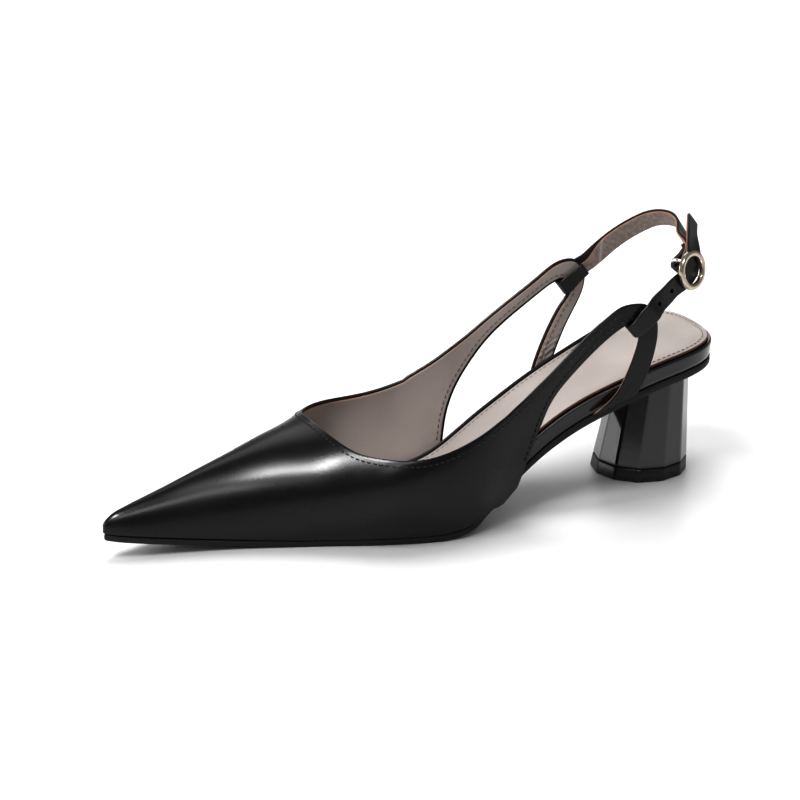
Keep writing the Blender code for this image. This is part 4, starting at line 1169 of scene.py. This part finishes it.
# %% [markdown]
# ## The buckle
# A flat gilt ring with bevelled edges sits on the buckle strap, and a bent wire behind it carries the sling
# strap. A ring is a profile turned about an axis, and the wire is a circle carried along its path.

# %% Metal finishes


def make_gilt():
    finish = Finish("pale_gilt", metallic=1.0)
    cloud, scratch = finish.noise(260.0, 3.0), finish.noise(900.0, 2.0, (1, 1, 12))
    colour = finish.blend(finish.ramp(cloud, 0.3, 0.7), (0.60, 0.53, 0.43, 1), (0.70, 0.635, 0.54, 1))
    normal = finish.bump(scratch, 0.05, 0.0001)
    return finish.set(base_color=colour, roughness=0.13 + 0.12 * scratch, normal=normal)


GILT, WIRE_DARK, WIRE_LIGHT = make_gilt(), (0.70, 0.68, 0.64, 1), (0.84, 0.82, 0.79, 1)
SILVER = make_mottled("bright_wire", 700.0, WIRE_DARK, WIRE_LIGHT, 0.12, 0.1, 0.05, metallic=1.0)
print("metal finishes:", GILT.name, SILVER.name)

# %% Ring and bar
RING_BEVEL, BACK_BEVEL, SHOULDER_IN, SHOULDER_DOWN, RING_STEPS = 0.5, 0.25, 0.12, 0.2, 96
BAR_BEND, BAR_SINKS = 1.2, 0.2
half = RING_DEPTH / 2
profile = np.array([
    (RING_INNER, BACK_BEVEL - half),
    (RING_INNER + BACK_BEVEL, -half),
    (RING_OUTER - BACK_BEVEL, -half),
    (RING_OUTER, BACK_BEVEL - half),
    (RING_OUTER, half - RING_BEVEL),
    (RING_OUTER - SHOULDER_IN, half - SHOULDER_DOWN),
    (RING_OUTER - RING_BEVEL, half),
    (RING_INNER + RING_BEVEL, half),
    (RING_INNER + SHOULDER_IN, half - SHOULDER_DOWN),
    (RING_INNER, half - RING_BEVEL),
])
turn = np.linspace(0, 2 * math.pi, RING_STEPS, endpoint=False)[:, None, None]
spoke = ring_along * np.cos(turn) + ring_across * np.sin(turn)
points = RING_CENTRE + spoke * profile[None, :, :1] + RING_NORMAL * profile[None, :, 1:]
faces = grid_faces(RING_STEPS, len(profile), True, True)
add_piece("gilt_ring", points, faces, GILT, "pale_gilt", ["buckle_ring"], sharp=35)


def tube(path, radius, binormal, sides=14):
    """Circle carried along a flat path that binormal is square to, with both ends closed to a point."""
    tangent = unit(np.gradient(path, axis=0))
    side = np.cross(tangent, binormal)
    turn = np.linspace(0, 2 * math.pi, sides, endpoint=False)[:, None]
    skin = path[:, None] + radius * (side[:, None] * np.cos(turn) + binormal * np.sin(turn))
    caps = np.repeat(path[[0, -1], None], sides, axis=1)
    return np.concatenate([caps[:1], skin, caps[1:]])


bend_turn = np.linspace(0, math.pi / 2, 9)[:, None]
corner = np.array([BAR_REACH - BAR_BEND, bar_depth + BAR_BEND])
arm = corner + BAR_BEND * np.concatenate([np.cos(bend_turn), -np.sin(bend_turn)], axis=1)
leg = np.concatenate([[(BAR_REACH, BAR_SINKS - half), (BAR_REACH, (bar_depth - half) / 2)], arm])
staple = np.concatenate([leg, leg[::-1] * (-1, 1)])
path = RING_CENTRE + ring_along * BAR_AHEAD + ring_across * staple[:, :1] + RING_NORMAL * staple[:, 1:]
points = tube(path, WIRE_RADIUS, ring_along)
add_piece("wire_bar", points, tube_faces(points), SILVER, "pale_gilt", ["buckle_bar"])

# %% [markdown]
# ## Stitching
# A stitch is a short thread that dives into the leather at both ends. All stitches of a row are made at once:
# their middles are spaced evenly along the row's path, and each is a small tube whose radius and height fall
# to nothing at its ends. The path of a row is the cut edge moved inwards over the last, so it stays on the
# leather.

# %% Thread finishes and stitch maker
STITCH_ROWS, STITCH_SIDES, SAME_POINT = 7, 8, 0.05


def make_thread(name, dark, light, rough):
    return make_mottled(name, 3000.0, dark, light, rough, 0.1, 0.3, specular_ior_level=0.4)


BLACK_THREAD = make_thread("black_thread", (0.012, 0.012, 0.0125, 1), (0.04, 0.04, 0.04, 1), 0.3)
BROWN_THREAD = make_thread("brown_thread", (0.18, 0.14, 0.125, 1), (0.26, 0.215, 0.195, 1), 0.5)
PALE_THREAD = make_thread("pale_thread", (0.30, 0.26, 0.24, 1), (0.42, 0.375, 0.35, 1), 0.5)


def stitches(path, normals, length=1.7, pitch=2.3, radius=0.24):
    """Tubes along a path, one per pitch: half-width radius x sqrt(1 - t^4), sunk at both ends."""
    reach = np.concatenate([[0], np.cumsum(np.linalg.norm(np.diff(path, axis=0), axis=1))])
    middle = np.arange(pitch / 2, reach[-1] - pitch / 2, pitch)[:, None]
    t = np.linspace(-1, 1, STITCH_ROWS)
    spot = middle + t * length / 2
    place = np.stack([np.interp(spot, reach, column) for column in path.T], axis=-1)
    up = unit(np.stack([np.interp(spot, reach, column) for column in normals.T], axis=-1))
    aside = unit(np.cross(np.gradient(place, axis=1), up))
    thick = (radius * np.sqrt(np.maximum(1 - t**4, 0.01)))[None, :, None, None]
    sunk = (radius * (0.55 - 0.9 * t**4))[None, :, None, None]
    turn = np.linspace(0, 2 * math.pi, STITCH_SIDES, endpoint=False)[:, None]
    raised = up[:, :, None] * (sunk + thick * np.sin(turn))
    skin = place[:, :, None] + raised + aside[:, :, None] * thick * np.cos(turn)
    one = grid_faces(STITCH_ROWS, STITCH_SIDES, close_columns=True)
    faces = one[None] + (np.arange(len(middle)) * STITCH_ROWS * STITCH_SIDES)[:, None, None]
    return skin.reshape(-1, 3), faces.reshape(-1, 4)


def edge_row(name, depth, offset, first, last):
    """Row depth millimetres inside a cut edge, offset along the normal, less its first and last ribs."""
    ends, side = EDGES[name]
    ends, side = set_in(ends, side, depth)[first:len(ends) - last], side[first:len(side) - last]
    point, _, _, normal = wall_frame(ends[:, 0], side, ends[:, 1])
    keep = np.linalg.norm(np.diff(point, axis=0, append=point[-1:] + 1), axis=1) > SAME_POINT
    return (point + normal * offset)[keep], normal[keep]


# %% Rows along the topline and the cut-outs
EDGE_DEPTH, ROW_OUT, ROW_IN, LINING_STITCH = 2.0, WALL + 0.02, -0.05, 0.2
# Ribs without stitches at the two ends of a row
OUTSIDE_ENDS = {"topline": (40, 58), "lateral_cutout": (58, 6), "medial_cutout": (6, 14)}
INSIDE_ENDS = {"lateral_cutout": (14, 6), "medial_cutout": (6, 14)}
for row, ends in OUTSIDE_ENDS.items():
    outside_row = edge_row(row, EDGE_DEPTH, ROW_OUT, *ends)
    add_piece("stitches_" + row, *stitches(*outside_row), BLACK_THREAD, "upper_leather")
for row, ends in INSIDE_ENDS.items():
    inside_row = edge_row(row, EDGE_DEPTH, ROW_IN, *ends)
    thread = stitches(inside_row[0], -inside_row[1], radius=LINING_STITCH)
    add_piece("lining_stitches_" + row, *thread, BROWN_THREAD, "sock_leather")

# %% Row round the sock
SOCK_ROW, ROW_POINTS, ROW_SPAN = 3.0, 400, slice(300, 650)
row_inset = flat(sock_in[-1] + SOCK_ROW - SOCK_MARGIN)
row = ring_round(row_inset, sock_height(SOCK_THICKNESS), 1, ROW_POINTS)[ROW_SPAN]
rows_up = np.repeat([[0.0, 0.0, 1.0]], len(row), axis=0)
thread = stitches(row, rows_up, length=1.5, pitch=2.2, radius=0.18)
add_piece("sock_stitches", *thread, PALE_THREAD, "sock_leather")

# %% [markdown]
# ## Studio
# A pale floor in a bright room, with six panels. The key above the toe and the rear panel light matt faces
# only, which sets the shadows. The glint above the toe and the bank on the near side show in glossy faces
# only, as the highlight on the vamp. The back panel and the low card beyond the toe show in both, and the
# heel's flats reflect them.

# %% Floor and lights
FLOOR_HALF, FLOOR_DROP, ROOM_LIGHT, DISPLAY_GAMMA = 6.0, 0.00003, 0.32, 0.7


def make_floor():
    finish = Finish("studio_floor", specular_ior_level=0.4)
    cloud = finish.noise(3.0, 2.0)
    colour = finish.blend(cloud, (0.91, 0.91, 0.91, 1), (0.93, 0.93, 0.93, 1))
    return finish.set(base_color=colour, roughness=0.34 + 0.06 * cloud)


floor_mesh = bpy.data.meshes.new("floor")
corners = np.array([(-1, -1), (1, -1), (1, 1), (-1, 1)]) * FLOOR_HALF
floor_mesh.from_pydata(np.column_stack([corners, np.full(4, -FLOOR_DROP)]), [], [(0, 1, 2, 3)])
floor_mesh.materials.append(make_floor())
floor = bpy.data.objects.new("floor", floor_mesh)
bpy.context.scene.collection.objects.link(floor)


def softbox(name, place, aim, size, power, matt=True, gloss=True):
    """Rectangular light at a place, its face turned towards aim, in metres, that may spare matt or gloss."""
    light = bpy.data.lights.new(name, "AREA")
    light.shape, light.energy = "RECTANGLE", power
    light.size, light.size_y = size
    lamp = bpy.data.objects.new(name, light)
    back = unit(np.array(place, float) - np.array(aim, float))
    right = unit(np.cross((0.0, 1.0, 0.001), back))
    turned = Matrix((right, np.cross(back, right), back)).transposed().to_4x4()
    lamp.matrix_world = Matrix.Translation(place) @ turned
    lamp.visible_diffuse, lamp.visible_glossy = matt, gloss
    bpy.context.scene.collection.objects.link(lamp)


softbox("key", (-1.13, -0.42, 2.12), (-0.045, 0.0, 0.04), (0.85, 1.1), 32.0, gloss=False)
softbox("glint", (-1.10, -0.47, 2.10), (-0.045, 0.0, 0.04), (0.36, 1.2), 80.0, matt=False)
softbox("bank", (-0.33, -0.91, 0.92), (-0.08, 0.0, 0.03), (0.8, 0.26), 5.4, matt=False)
softbox("rear", (0.35, 0.75, 2.20), (0.0, 0.0, 0.03), (1.2, 1.2), 32.0, gloss=False)
softbox("back", (0.75, 1.60, 0.80), (0.0, 0.0, 0.03), (2.6, 0.7), 7.0)
softbox("card", (-1.15, 0.62, 0.30), (0.05, 0.0, 0.03), (0.5, 0.6), 6.0)
world = bpy.data.worlds.new("room")
world.use_nodes = True
world.node_tree.nodes["Background"].inputs["Color"].default_value = (1, 1, 1, 1)
world.node_tree.nodes["Background"].inputs["Strength"].default_value = ROOM_LIGHT
bpy.context.scene.world = world
bpy.context.scene.view_settings.view_transform = "Standard"
bpy.context.scene.view_settings.gamma = DISPLAY_GAMMA
